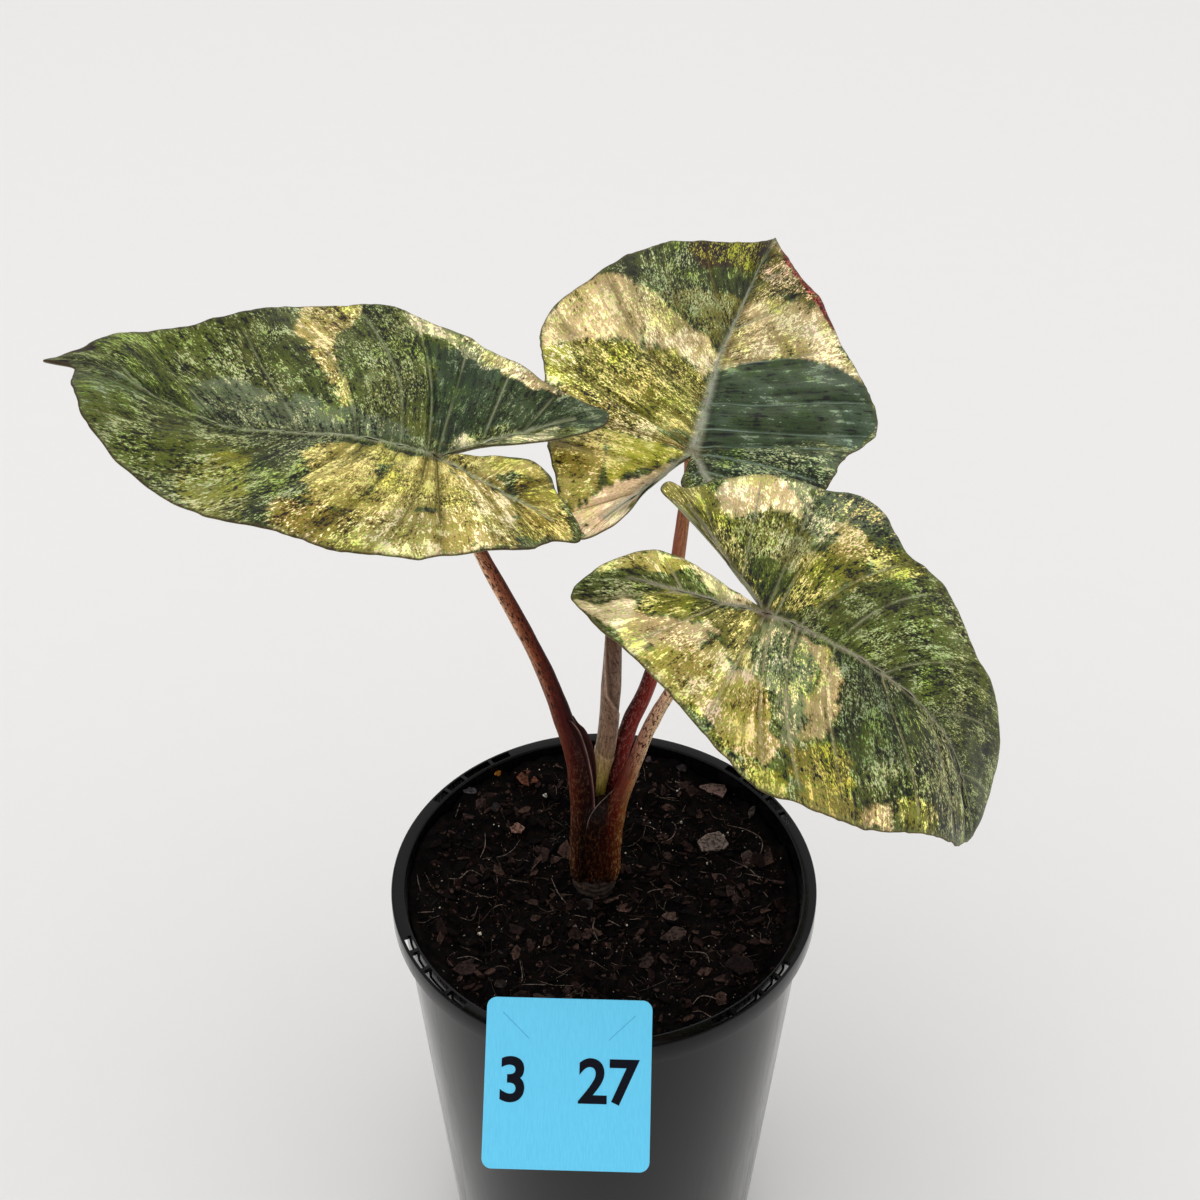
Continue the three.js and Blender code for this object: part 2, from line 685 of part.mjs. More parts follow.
function tagGeometry() {
  const half = tag.side / 2;
  const r = tag.corner;
  const shape = new THREE.Shape();
  shape.moveTo(-half + r, -half);
  shape.lineTo(half - r, -half);
  shape.absarc(half - r, -half + r, r, -Math.PI / 2, 0, false);
  shape.absarc(half - r, half - r, r, 0, Math.PI / 2, false);
  shape.absarc(-half + r, half - r, r, Math.PI / 2, Math.PI, false);
  shape.absarc(-half + r, -half + r, r, Math.PI, 1.5 * Math.PI, false);
  const flat = new THREE.ExtrudeGeometry(shape, {
    depth: tag.thickness, bevelEnabled: false, curveSegments: 5,
  });
  const [x, y, z] = tag.centre;
  const plate = closedFrom(flat)
    .translate(0, 0, -tag.thickness)
    .rotateZ(THREE.MathUtils.degToRad(tag.turn))
    .rotateX(THREE.MathUtils.degToRad(tag.lean))
    .translate(x, y, z);
  return geometryOf(solidOf(plate).add(clipSolid()));
}

// The clip is a block under the plate with a slot cut to the rim's own section
function clipSolid() {
  const { clipWidth, clipWall, clipReach, lean, centre, thickness } = tag;
  const [x, y, z] = centre;
  const slope = Math.tan(THREE.MathUtils.degToRad(lean));
  const slotInside = wallRadius(pot.height - clipReach) - pot.wall - fitGap;
  const slotOutside = pot.rimRadius + fitGap;
  const slotTop = pot.height + fitGap;
  const innerFace = -(slotInside - clipWall) + 1.5;
  const outerFace = -(slotOutside + clipWall);
  const underPlate = (atY) => z - thickness * 0.5 + (atY - y) * slope;
  const side = new THREE.Shape();
  side.moveTo(outerFace, pot.height - clipReach);
  side.lineTo(innerFace, pot.height - clipReach + 3);
  side.lineTo(innerFace, underPlate(innerFace));
  side.lineTo(outerFace, underPlate(outerFace));
  side.closePath();
  const block = closedFrom(new THREE.ExtrudeGeometry(side, { depth: clipWidth, bevelEnabled: false }))
    .applyMatrix4(new THREE.Matrix4().makeBasis(
      new THREE.Vector3(0, 1, 0), new THREE.Vector3(0, 0, 1), new THREE.Vector3(1, 0, 0)))
    .translate(x - clipWidth / 2, 0, 0);
  const slot = [
    [slotInside, 0], [slotOutside, 0], [slotOutside, slotTop], [slotInside, slotTop], [slotInside, 0],
  ];
  const ring = new THREE.LatheGeometry(slot.map(([r, h]) => new THREE.Vector2(r, h)), pot.sides);
  return solidOf(closedFrom(block)).subtract(solidOf(closedFrom(ring, true)));
}

// The whole plant

const plant = new THREE.Group();

function addPiece(name, geometry, color, roughness) {
  const material = new THREE.MeshStandardMaterial({ color, roughness, metalness: 0 });
  const mesh = new THREE.Mesh(geometry, material);
  mesh.name = name;
  plant.add(mesh);
}

addPiece('pot', potGeometry(), 0x17171a, 0.35);
addPiece('potting_mix', mixGeometry(), 0x1d1512, 0.95);
addPiece('corm', cormGeometry(), 0x4a2f20, 0.8);
for (const [side, leaf] of Object.entries(leaves)) {
  const colours = { left: 0x4c1a1c, back: 0x7d1f26, right: 0x9a6f52 };
  addPiece(`petiole_${side}`, stalkGeometry(leaf.stalk, stalkHead(leaf)), colours[side], 0.4);
  addPiece(`blade_${side}`, bladeGeometry(leaf), 0x56703a, 0.4);
}
addPiece('new_leaf', newLeafGeometry(), 0x86654c, 0.5);
addPiece('plant_tag', tagGeometry(), 0x6cc8f2, 0.45);

export default plant;
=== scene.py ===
import math
import random
from functools import cache

import bmesh
import bpy
import numpy as np
from mathutils import Matrix, Vector


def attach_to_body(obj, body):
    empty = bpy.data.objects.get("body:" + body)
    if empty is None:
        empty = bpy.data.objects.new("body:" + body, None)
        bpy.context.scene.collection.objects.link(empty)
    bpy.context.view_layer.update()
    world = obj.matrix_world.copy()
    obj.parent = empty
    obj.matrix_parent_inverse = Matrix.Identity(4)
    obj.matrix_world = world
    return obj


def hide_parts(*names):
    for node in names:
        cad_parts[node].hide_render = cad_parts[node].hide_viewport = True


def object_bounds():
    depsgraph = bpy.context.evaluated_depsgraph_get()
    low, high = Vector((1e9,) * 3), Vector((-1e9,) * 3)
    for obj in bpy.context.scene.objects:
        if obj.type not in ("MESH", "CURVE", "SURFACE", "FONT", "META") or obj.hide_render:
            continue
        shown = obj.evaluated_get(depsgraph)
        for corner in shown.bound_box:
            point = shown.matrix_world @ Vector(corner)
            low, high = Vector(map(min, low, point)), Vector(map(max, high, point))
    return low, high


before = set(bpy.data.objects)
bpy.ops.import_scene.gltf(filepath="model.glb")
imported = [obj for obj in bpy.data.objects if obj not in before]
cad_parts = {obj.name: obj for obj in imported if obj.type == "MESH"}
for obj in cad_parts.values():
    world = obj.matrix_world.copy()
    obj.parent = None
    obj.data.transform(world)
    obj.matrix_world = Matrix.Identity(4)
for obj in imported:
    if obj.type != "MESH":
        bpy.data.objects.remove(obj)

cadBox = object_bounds()
mm = 0.001
print("frame loaded")

# Shared helpers


def deselectAll():
    if bpy.context.mode != "OBJECT":
        bpy.ops.object.mode_set(mode="OBJECT")
    bpy.ops.object.select_all(action="DESELECT")


def makeActive(piece):
    deselectAll()
    piece.select_set(True)
    bpy.context.view_layer.objects.active = piece


def applyModifier(piece, kind, **settings):
    modifier = piece.modifiers.new(kind.lower(), kind)
    for key, value in settings.items():
        setattr(modifier, key, value)
    makeActive(piece)
    bpy.ops.object.modifier_apply(modifier=modifier.name)


def recalculateNormals(piece):
    makeActive(piece)
    bpy.ops.object.mode_set(mode="EDIT")
    bpy.ops.mesh.select_all(action="SELECT")
    bpy.ops.mesh.normals_make_consistent(inside=False)
    bpy.ops.object.mode_set(mode="OBJECT")


def smoothByAngle(piece, degrees):
    makeActive(piece)
    bpy.ops.object.shade_smooth_by_angle(angle=math.radians(degrees))


# Gives a finished piece its material and its body, and hides the nodes that it stands for
def keepPiece(piece, material, slotName, *nodes):
    piece.data.materials.clear()
    piece.data.materials.append(material)
    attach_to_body(piece, "root")
    if nodes:
        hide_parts(*nodes)


def smoothStep(share):
    share = np.clip(share, 0, 1)
    return share * share * (3 - 2 * share)


def linear(hexColour):
    values = [int(hexColour[i:i + 2], 16) / 255 for i in (1, 3, 5)]
    return [v / 12.92 if v <= 0.04045 else ((v + 0.055) / 1.055) ** 2.4 for v in values]


# A colour as seen, less the pale sheen that the room adds to it
def underSheen(colour, sheen=0.02):
    colour = np.asarray(colour, float)
    return np.maximum(colour - sheen * np.array([1, 1.05, 1.5]), colour * 0.2)


def latticeValue(x, y, z, seed):
    mixed = (x * 73856093) ^ (y * 19349663) ^ (z * 83492791) ^ (seed * 961748927)
    mixed = (mixed ^ (mixed >> 13)) * 1274126177
    mixed = (mixed ^ (mixed >> 16)) & 0xFFFF
    return mixed / 32767.5 - 1


# Smooth noise from -1 to 1 at points given in mm; size is the width of one lump
def softNoise(points, size, seed=0):
    place = np.asarray(points, float) / size
    cell = np.floor(place).astype(np.int64)
    share = place - cell
    share = share * share * (3 - 2 * share)
    total = np.zeros(place.shape[:-1])
    for dx in (0, 1):
        for dy in (0, 1):
            for dz in (0, 1):
                weight = (np.abs(1 - dx - share[..., 0]) * np.abs(1 - dy - share[..., 1])
                          * np.abs(1 - dz - share[..., 2]))
                total += weight * latticeValue(cell[..., 0] + dx, cell[..., 1] + dy, cell[..., 2] + dz, seed)
    return total


def flatNoise(x, y, size, seed=0):
    return softNoise(np.stack([x, y, np.zeros_like(x)], -1), size, seed)


# Several noises in one; each layer is (amount, size, step of the seed)
def layeredNoise(x, y, seed, *layers):
    return sum(amount * flatNoise(x, y, size, seed + step) for amount, size, step in layers)


# A mesh object from points in mm and faces; colours and vectors are kept per point
def meshPiece(name, points, faces, colours=None, vectors=None, merge=0.0):
    mesh = bpy.data.meshes.new(name)
    mesh.from_pydata((np.asarray(points) * mm).tolist(), [], faces)
    for key, values in (colours or {}).items():
        attribute = mesh.attributes.new(key, "FLOAT_COLOR", "POINT")
        rgba = np.ones((len(points), 4), np.float32)
        rgba[:, :3] = values
        attribute.data.foreach_set("color", rgba.ravel())
    for key, values in (vectors or {}).items():
        attribute = mesh.attributes.new(key, "FLOAT_VECTOR", "POINT")
        attribute.data.foreach_set("vector", np.asarray(values, np.float32).ravel())
    shape = bmesh.new()
    shape.from_mesh(mesh)
    if merge:
        bmesh.ops.remove_doubles(shape, verts=shape.verts, dist=merge * mm)
    bmesh.ops.recalc_face_normals(shape, faces=shape.faces)
    shape.to_mesh(mesh)
    shape.free()
    piece = bpy.data.objects.new(name, mesh)
    bpy.context.scene.collection.objects.link(piece)
    return piece


# Faces of a tube of rings, with a cap at each end
def ringFaces(rings, sides):
    index = np.arange(rings * sides).reshape(rings, sides)
    after = np.roll(index, -1, axis=1)
    faces = np.stack([index[:-1], after[:-1], after[1:], index[1:]], -1).reshape(-1, 4).tolist()
    return faces + [index[0].tolist(), index[-1].tolist()]


# A bag gathers many small shapes for one mesh
def newBag():
    return {"points": [], "faces": [], "colours": []}


# the gains, when given, scale each point's colour: painted light and shade
def addShape(bag, points, faces, colour=(0, 0, 0), rims=None):
    start = len(bag["points"])
    bag["points"].extend(points)
    bag["faces"].extend(tuple(start + i for i in face) for face in faces)
    bag["colours"].extend([[c * gain for c in colour] for gain in rims or [1] * len(points)])


def bagPiece(name, bag, material, slotName, degrees=None):
    piece = meshPiece(name, bag["points"], bag["faces"], {"tone": bag["colours"]})
    piece.data.shade_smooth()
    if degrees:
        smoothByAngle(piece, degrees)
    keepPiece(piece, material, slotName)


# The same smooth curve as in the part: uniform, or centripetal for the outlines
def curveAt(points, places, centripetal=False):
    points = np.asarray(points, float)
    last = len(points) - 1
    place = np.clip(np.asarray(places, float), 0, 1) * last
    low = np.minimum(np.floor(place).astype(int), last - 1)
    w = (place - low)[:, None]
    padded = np.vstack([2 * points[0] - points[1], points, 2 * points[-1] - points[-2]])
    p0, p1, p2, p3 = (padded[low + k] for k in range(4))
    if centripetal:
        d0, d1, d2 = (np.maximum(np.sqrt(np.linalg.norm(b - a, axis=1)), 1e-4)[:, None]
                      for a, b in ((p0, p1), (p1, p2), (p2, p3)))
        t1 = ((p1 - p0) / d0 - (p2 - p0) / (d0 + d1) + (p2 - p1) / d1) * d1
        t2 = ((p2 - p1) / d1 - (p3 - p1) / (d1 + d2) + (p3 - p2) / d2) * d1
    else:
        t1 = (p2 - p0) * 0.5
        t2 = (p3 - p1) * 0.5
    return p1 + t1 * w + (3 * (p2 - p1) - 2 * t1 - t2) * w ** 2 + (2 * (p1 - p2) + t1 + t2) * w ** 3


def walkedLength(points):
    return np.concatenate([[0], np.cumsum(np.linalg.norm(np.diff(points, axis=0), axis=1))])


# Evenly spaced points and headings along a curve
def evenWay(points, steps):
    fine = np.linspace(0, 1, 601)
    lengths = walkedLength(curveAt(points, fine))
    places = np.interp(np.linspace(0, 1, steps + 1), lengths / lengths[-1], fine)
    nudge = 1e-4
    ahead = curveAt(points, np.clip(places + nudge, 0, 1)) - curveAt(points, np.clip(places - nudge, 0, 1))
    ahead /= np.linalg.norm(ahead, axis=1)[:, None]
    return curveAt(points, places), ahead, lengths[-1]


def turnAbout(vectors, axes, angles):
    c, s = np.cos(angles)[..., None], np.sin(angles)[..., None]
    along = (vectors * axes).sum(-1)[..., None]
    return vectors * c + np.cross(axes, vectors) * s + axes * along * (1 - c)


# Node helpers for the materials


def newMaterial(name):
    material = bpy.data.materials.new(name)
    material.use_nodes = True
    tree = material.node_tree
    return material, tree, tree.nodes["Principled BSDF"]


def addNode(tree, kind, **settings):
    node = tree.nodes.new("ShaderNode" + kind)
    for key, value in settings.items():
        if key in node.inputs:
            node.inputs[key].default_value = value
        else:
            setattr(node, key, value)
    return node


def noiseNode(tree, vector, scale, detail=3.0, roughness=0.55, stretch=None):
    if stretch:
        mapping = addNode(tree, "Mapping")
        mapping.inputs["Scale"].default_value = stretch
        tree.links.new(vector, mapping.inputs["Vector"])
        vector = mapping.outputs["Vector"]
    node = addNode(tree, "TexNoise", Scale=scale, Detail=detail, Roughness=roughness)
    tree.links.new(vector, node.inputs["Vector"])
    return node.outputs["Fac"]


def stepNode(tree, value, low, high, outLow=0.0, outHigh=1.0):
    node = addNode(tree, "MapRange", interpolation_type="SMOOTHSTEP")
    node.inputs["From Min"].default_value = low
    node.inputs["From Max"].default_value = high
    node.inputs["To Min"].default_value = outLow
    node.inputs["To Max"].default_value = outHigh
    tree.links.new(value, node.inputs["Value"])
    return node.outputs["Result"]


def mathNode(tree, operation, first, second):
    node = addNode(tree, "Math", operation=operation)
    for socket, value in zip(node.inputs, (first, second)):
        if isinstance(value, (int, float)):
            socket.default_value = value
        else:
            tree.links.new(value, socket)
    return node.outputs[0]


# Adds up (value, weight) pairs
def sumNode(tree, *pairs):
    parts = [mathNode(tree, "MULTIPLY", value, weight) for value, weight in pairs]
    total = parts[0]
    for part in parts[1:]:
        total = mathNode(tree, "ADD", total, part)
    return total


def mixNode(tree, share, first, second, blend="MIX"):
    node = addNode(tree, "Mix", data_type="RGBA", blend_type=blend)
    for socket, value in ((node.inputs[0], share), (node.inputs[6], first), (node.inputs[7], second)):
        if isinstance(value, (int, float)):
            socket.default_value = value
        elif isinstance(value, (list, tuple)):
            socket.default_value = (*value[:3], 1)
        else:
            tree.links.new(value, socket)
    return node.outputs[2]


def timesNode(tree, colour, gain):
    return mixNode(tree, 1.0, colour, gain, "MULTIPLY")


def objectPlace(tree):
    return addNode(tree, "TexCoord").outputs["Object"]


def pointAttribute(tree, name, output="Color"):
    return addNode(tree, "Attribute", attribute_name=name).outputs[output]


# The surface's colour, its roughness, its specular level, and a bump of (height, strength, distance in metres)
def dressShader(tree, shader, colour, rough, specular=0.5, bump=None):
    tree.links.new(colour, shader.inputs["Base Color"])
    if isinstance(rough, float):
        shader.inputs["Roughness"].default_value = rough
    else:
        tree.links.new(rough, shader.inputs["Roughness"])
    shader.inputs["Specular IOR Level"].default_value = specular
    if bump:
        height, strength, distance = bump
        node = addNode(tree, "Bump", Strength=strength, Distance=distance)
        tree.links.new(height, node.inputs["Height"])
        tree.links.new(node.outputs["Normal"], shader.inputs["Normal"])


# Camera, light and floor

studio = {
    "camera": (-0.0013, -0.4284, 0.6483),
    "lookDown": 39.23,  # degrees under the level
    "fieldOfView": 35.0, "aim": (0, 0, 0.2),
    "floor": "#f2f1f0", "floorSize": 12, "floorHeight": -0.0004, "world": 0.8,
    "lights": {  # place, size and power; each faces the plant
        "keyLight": ((-0.9, -0.2, 2.2), 1.9, 8.5),
        "fillLight": ((1.6, -0.4, 1.6), 1.8, 4),
        "backLight": ((0.2, 1.9, 1.8), 1.8, 2.3),
    },
}


def buildStudio():
    scene = bpy.context.scene
    scene.view_settings.view_transform = "Standard"
    data = bpy.data.cameras.new("photoCamera")
    data.sensor_width = 36
    data.lens = 18 / math.tan(math.radians(studio["fieldOfView"] / 2))
    data.clip_end = 50
    camera = bpy.data.objects.new("photoCamera", data)
    camera.location = studio["camera"]
    camera.rotation_euler = (math.radians(90 - studio["lookDown"]), 0, 0)
    scene.collection.objects.link(camera)
    scene.camera = camera

    world = bpy.data.worlds.new("paleRoom")
    world.use_nodes = True
    world.node_tree.nodes["Background"].inputs["Color"].default_value = (1.0, 0.995, 0.99, 1)
    world.node_tree.nodes["Background"].inputs["Strength"].default_value = studio["world"]
    scene.world = world
    for name, (place, size, power) in studio["lights"].items():
        light = bpy.data.lights.new(name, "AREA")
        light.energy = power
        light.size = size
        lamp = bpy.data.objects.new(name, light)
        lamp.location = place
        aim = Vector(studio["aim"]) - Vector(place)
        lamp.rotation_euler = aim.to_track_quat("-Z", "Y").to_euler()
        scene.collection.objects.link(lamp)

    deselectAll()
    bpy.ops.mesh.primitive_plane_add(size=studio["floorSize"], location=(0, 0, studio["floorHeight"]))
    floor = bpy.context.active_object
    floor.name = "studioFloor"
    material, tree, shader = newMaterial("studioPaper")
    grain = noiseNode(tree, objectPlace(tree), 60, 2)
    colour = mixNode(tree, stepNode(tree, grain, 0.3, 0.7, 0, 0.05), linear(studio["floor"]), (0.8, 0.8, 0.8))
    dressShader(tree, shader, colour, 0.9, 0.1)
    floor.data.materials.append(material)
    print("studio ready")


buildStudio()

# Pot: thin black plastic, with a skirted rim that has four windows in its flange

pot = {
    "height": 180, "rimRadius": 70, "wallTopRadius": 67.2, "baseRadius": 55, "wall": 1.6,
    "floor": 2, "skirtHeight": 8, "skirtWall": 1, "flange": 1.6, "sides": 288,
    "windows": [36, 134, 216, 314],  # degrees round the pot
    "windowSpan": 29, "ribs": [5, 12, 22], "ribSpan": 1.1, "windowInside": 66.5, "windowDepth": 4.5,
    "drains": 8, "drainRing": 38, "drainRadius": 4,
    "cornerRadii": [1.2, 0, 0.4, 0.35, 0.35, 0.7, 0.6, 1.0],  # from the base, round the rim, to the floor inside
    "colour": "#040405", "streak": "#0f0e10", "dust": "#3c3937", "scuff": "#4a4745",
}


def wallRadius(z):
    return pot["baseRadius"] + (pot["wallTopRadius"] - pot["baseRadius"]) * z / pot["height"]


# Adds a ring and extrudes it up and down a profile of (radius, height) in mm, as on a lathe
def turnedPiece(name, profile, sides):
    deselectAll()
    profile = [(max(radius, 0.01), height) for radius, height in profile]
    radius, height = profile[0]
    bpy.ops.mesh.primitive_circle_add(vertices=sides, radius=radius * mm, location=(0, 0, height * mm))
    piece = bpy.context.active_object
    piece.name = name
    bpy.ops.object.mode_set(mode="EDIT")
    bpy.ops.mesh.select_all(action="SELECT")
    for (r0, z0), (r1, z1) in zip(profile, profile[1:]):
        bpy.ops.mesh.extrude_edges_move(TRANSFORM_OT_translate={"value": (0, 0, (z1 - z0) * mm)})
        bpy.ops.transform.resize(value=(r1 / r0, r1 / r0, 1))
    bpy.ops.mesh.select_all(action="SELECT")
    bpy.ops.mesh.remove_doubles(threshold=2e-5)
    bpy.ops.object.mode_set(mode="OBJECT")
    return piece


# A soft corner in a profile: points round the bend between two straight runs
def softCorner(before, corner, after, radius, steps=3):
    corner = np.array(corner, float)
    start = np.array(before, float) - corner
    end = np.array(after, float) - corner
    start = corner + start / np.linalg.norm(start) * radius
    end = corner + end / np.linalg.norm(end) * radius
    shares = np.linspace(0, 1, steps + 1)
    return [tuple((1 - k) ** 2 * start + 2 * k * (1 - k) * corner + k * k * end) for k in shares]


def softProfile(corners, radii):
    points = [corners[0]]
    for before, corner, after, radius in zip(corners, corners[1:], corners[2:], radii):
        points += softCorner(before, corner, after, radius) if radius else [corner]
    return points + [corners[-1]]


def windowSlits(centre):
    sideEndFirst = (math.cos(math.radians(centre)) > 0) != (centre > 180)
    edges = [0]
    for rib in pot["ribs"]:
        edges += [rib, rib + pot["ribSpan"]]
    edges.append(pot["windowSpan"])
    start, end = centre - pot["windowSpan"] / 2, centre + pot["windowSpan"] / 2
    pairs = zip(edges[::2], edges[1::2])
    return [(start + a, start + b) if sideEndFirst else (end - b, end - a) for a, b in pairs]


# A curved block between two angles, to cut one slit of a window
def ringBlock(fromDegrees, toDegrees, inside, outside, bottom, top):
    steps = max(2, round((toDegrees - fromDegrees) / 1.2))
    points = []
    for i in range(steps + 1):
        turn = math.radians(fromDegrees + (toDegrees - fromDegrees) * i / steps)
        for r, z in ((inside, bottom), (outside, bottom), (outside, top), (inside, top)):
            points.append((r * math.cos(turn), r * math.sin(turn), z))
    return points, ringFaces(steps + 1, 4)


def cutWith(piece, cutter):
    applyModifier(piece, "BOOLEAN", operation="DIFFERENCE", solver="EXACT", object=cutter)
    bpy.data.objects.remove(cutter)


def buildPot():
    top, wall = pot["height"], pot["wall"]
    under, skirtBottom = top - pot["flange"], top - pot["skirtHeight"]
    inner = pot["rimRadius"] - pot["skirtWall"]
    corners = [
        (0, 0), (pot["baseRadius"], 0), (wallRadius(under), under), (inner, under), (inner, skirtBottom),
        (pot["rimRadius"], skirtBottom), (pot["rimRadius"], top), (wallRadius(top) - wall, top),
        (wallRadius(pot["floor"]) - wall, pot["floor"]), (0, pot["floor"]),
    ]
    piece = turnedPiece("nurseryPot", softProfile(corners, pot["cornerRadii"]), pot["sides"])
    recalculateNormals(piece)
    slits = newBag()
    for centre in pot["windows"]:
        for span in windowSlits(centre):
            addShape(slits, *ringBlock(*span, pot["windowInside"], inner, top - pot["windowDepth"], top + 1))
    cutWith(piece, meshPiece("windowCutter", slits["points"], slits["faces"]))
    for i in range(pot["drains"]):
        turn = i * 2 * math.pi / pot["drains"]
        deselectAll()
        bpy.ops.mesh.primitive_cylinder_add(
            vertices=32, radius=pot["drainRadius"] * mm, depth=0.006,
            location=(pot["drainRing"] * mm * math.cos(turn), pot["drainRing"] * mm * math.sin(turn), 0.001))
        cutWith(piece, bpy.context.active_object)
    smoothByAngle(piece, 32)
    keepPiece(piece, potPlastic(), "pot_plastic", "pot")
    print("pot ready")


def potPlastic():
    material, tree, shader = newMaterial("blackPotPlastic")
    place = objectPlace(tree)
    streaks = noiseNode(tree, place, 1, 3, 0.6, (900, 900, 12))
    broad = noiseNode(tree, place, 1, 2, 0.5, (160, 160, 5))
    dust = noiseNode(tree, place, 420, 4, 0.7)
    scuffs = noiseNode(tree, place, 90, 5, 0.75)
    colour = mixNode(tree, stepNode(tree, streaks, 0.45, 0.75), linear(pot["colour"]), linear(pot["streak"]))
    colour = mixNode(tree, stepNode(tree, dust, 0.66, 0.8, 0, 0.25), colour, linear(pot["dust"]))
    colour = mixNode(tree, stepNode(tree, scuffs, 0.68, 0.76, 0, 0.2), colour, linear(pot["scuff"]))
    rough = mathNode(tree, "ADD", stepNode(tree, broad, 0.3, 0.7, 0.1, 0.16),
                     stepNode(tree, streaks, 0.4, 0.7, 0, 0.08))
    height = mathNode(tree, "ADD", streaks, mathNode(tree, "MULTIPLY", dust, 0.1))
    dressShader(tree, shader, colour, rough, 0.17, (height, 0.1, 0.0001))
    shader.inputs["Sheen Weight"].default_value = 0.22
    shader.inputs["Sheen Roughness"].default_value = 0.2
    return material


buildPot()

# Bark mix, with its chips, crumbs, threads and white specks

mix = {
    "level": 171, "slopeX": -0.03, "slopeY": 0.03, "dish": 3.5, "lump": 1.3, "gap": 0.3,
    "roughness": ((1.5, 6.5, 0), (0.9, 2.8, 1), (0.45, 1.2, 2)),
    "rings": 150, "sides": 300, "seed": 11,
    "crumbs": 3900, "shards": 1600, "threads": 330, "specks": 110,  # how many are strewn
    "hollow": 1.3, "hollowCentre": (-3.2, 5), "hollowSpread": 110,  # round the corm
    "dark": "#020101", "light": "#120a08", "markedStraw": "#85756c",
    "browns": ["#0a0504", "#100807", "#180e0d", "#231614", "#31221f", "#0d0706", "#080403", "#40302c", "#4e3a33"],
    # bright crumb colours that stand in for glints: painted highlights
    "paintedGlints": ["#6b5a52", "#8d7c72", "#54463f", "#a8968a"],
    "straws": ["#8a776c", "#6a5850", "#4b3c36", "#3a2c27", "#57463e", "#2e2320", "#6f5f55"],
    "whites": ["#d8cdb8", "#b9a999", "#8e8078", "#e6e0d6"],
    # pieces that stand out in the photo; a chip is x, y, length, width, turn in degrees, colour
    "markedChips": {
        "pinkLeft": (-30.5, 28.2, 7.6, 4.4, 8, "#8d6a5c"), "pinkRight": (39.7, 46.6, 10.4, 6.2, -25, "#77605a"),
        "greyRight": (37.6, 21.8, 11.5, 8.4, -12, "#74665f"), "greyRight2": (49, 17.9, 7.4, 5.6, 10, "#4d403c"),
        "brownLow": (22.1, -9.2, 5.4, 4.6, 30, "#5d4a43"), "brownLow2": (23.8, -17.2, 10.2, 7.2, 12, "#4c3d38"),
        "barkBack": (-26.6, 50.3, 6.4, 6.8, 40, "#6b4232"), "greyLeft": (-46.6, 43.4, 4.6, 3.6, 0, "#4d474b"),
        "greyMid": (-6.3, -5.6, 6, 4.4, 20, "#3a3231"), "brownLeft": (-44, -33.3, 8.2, 6, 35, "#382a28"),
        "orangeBit": (-37.2, 51.8, 2.6, 2.6, 0, "#9a6224"), "chipBack": (15.8, 60.4, 3, 3.4, 0, "#54454a"),
        "chipBackB": (27.8, 56.7, 4, 4.4, 30, "#3c3638"), "stripRight": (51.5, 36.2, 2.6, 6.6, -20, "#5a5350"),
        "lowRight": (43.5, -31, 9, 8, 10, "#211716"), "middle": (-28.7, -16.2, 7, 4.6, -15, "#2a1c1b"),
        "backLeft": (-37.6, 35.2, 4.4, 4.6, 30, "#2f2a2a"), "low": (13.2, -28.2, 6.6, 4.4, 15, "#3f322e"),
        "lowLeft": (-32.9, -39.5, 4.4, 4.2, 50, "#332b29"), "byStalk": (7, -6.2, 5, 3.4, 0, "#5b443c"),
    },
    "markedThreads": [
        [(-41.1, 13.4), (-34.5, 17.0), (-30.9, 20.3), (-28.6, 24.0)], [(-40.6, 25.3), (-40.4, 19.6), (-41.8, 13.7)],
        [(32.4, 11.8), (36.5, 11.8), (39.8, 10.8), (40.7, 7.3)],
        [(42.5, 30.9), (48.5, 28.5), (53.4, 24.3), (53.8, 19.0), (51.1, 14.3), (47.7, 14.0)],
        [(42.8, 15.9), (47.7, 12.7), (49.8, 8.3), (52.8, 4.2)], [(12.0, -1.9), (15.4, 2.4), (20.4, 3.3)],
        [(26.2, -23.2), (32.6, -24.5), (34.0, -29.5)], [(27.0, -45.9), (30.9, -42.3), (37.1, -43.6)],
        [(-26.0, -39.4), (-20.3, -37.9), (-14.9, -37.6)], [(-47.0, -29.4), (-43.0, -28.2), (-39.1, -29.6)],
        [(-47.0, -12.6), (-43.2, -11.4), (-41.5, -6.5)], [(-21.7, 18.7), (-21.6, 13.4), (-24.2, 10.7)],
        [(-62.3, 5.6), (-61.7, 2.2), (-60.4, -2.8)], [(-51.9, 4.1), (-48.0, 4.1), (-44.8, 7.4), (-40.4, 5.6)],
        [(-32.0, 4.9), (-25.7, 5.4)], [(-17.7, 7.5), (-15.3, 1.6), (-12.2, -3.4)], [(1.3, -8.5), (5.3, -11.4)],
        [(-2.9, -8.6), (-3.6, -14.2), (-2.0, -18.4)], [(-60.1, -10.9), (-55.5, -11.7)],
        [(19.5, 22.5), (23.4, 25.1), (24.9, 29.5), (23.6, 32.6)], [(47.4, 8.4), (51.3, 6.0), (56.3, 5.8)],
        [(22.7, 50.9), (26.8, 49.6), (30.3, 46.4)], [(48.6, 49.0), (45.6, 46.0)],
        [(-27.0, -28.7), (-26.1, -34.9), (-28.1, -41.2)], [(12.9, 55.4), (10.7, 50.0)],
        [(-49.8, 38.6), (-51.2, 33.1)],
    ],
    "markedSpecks": [(-40.3, -17.9), (-9.5, -14.0), (40.9, 26.1), (26.7, 31.7), (-22, 38), (-20.4, 43)],
}


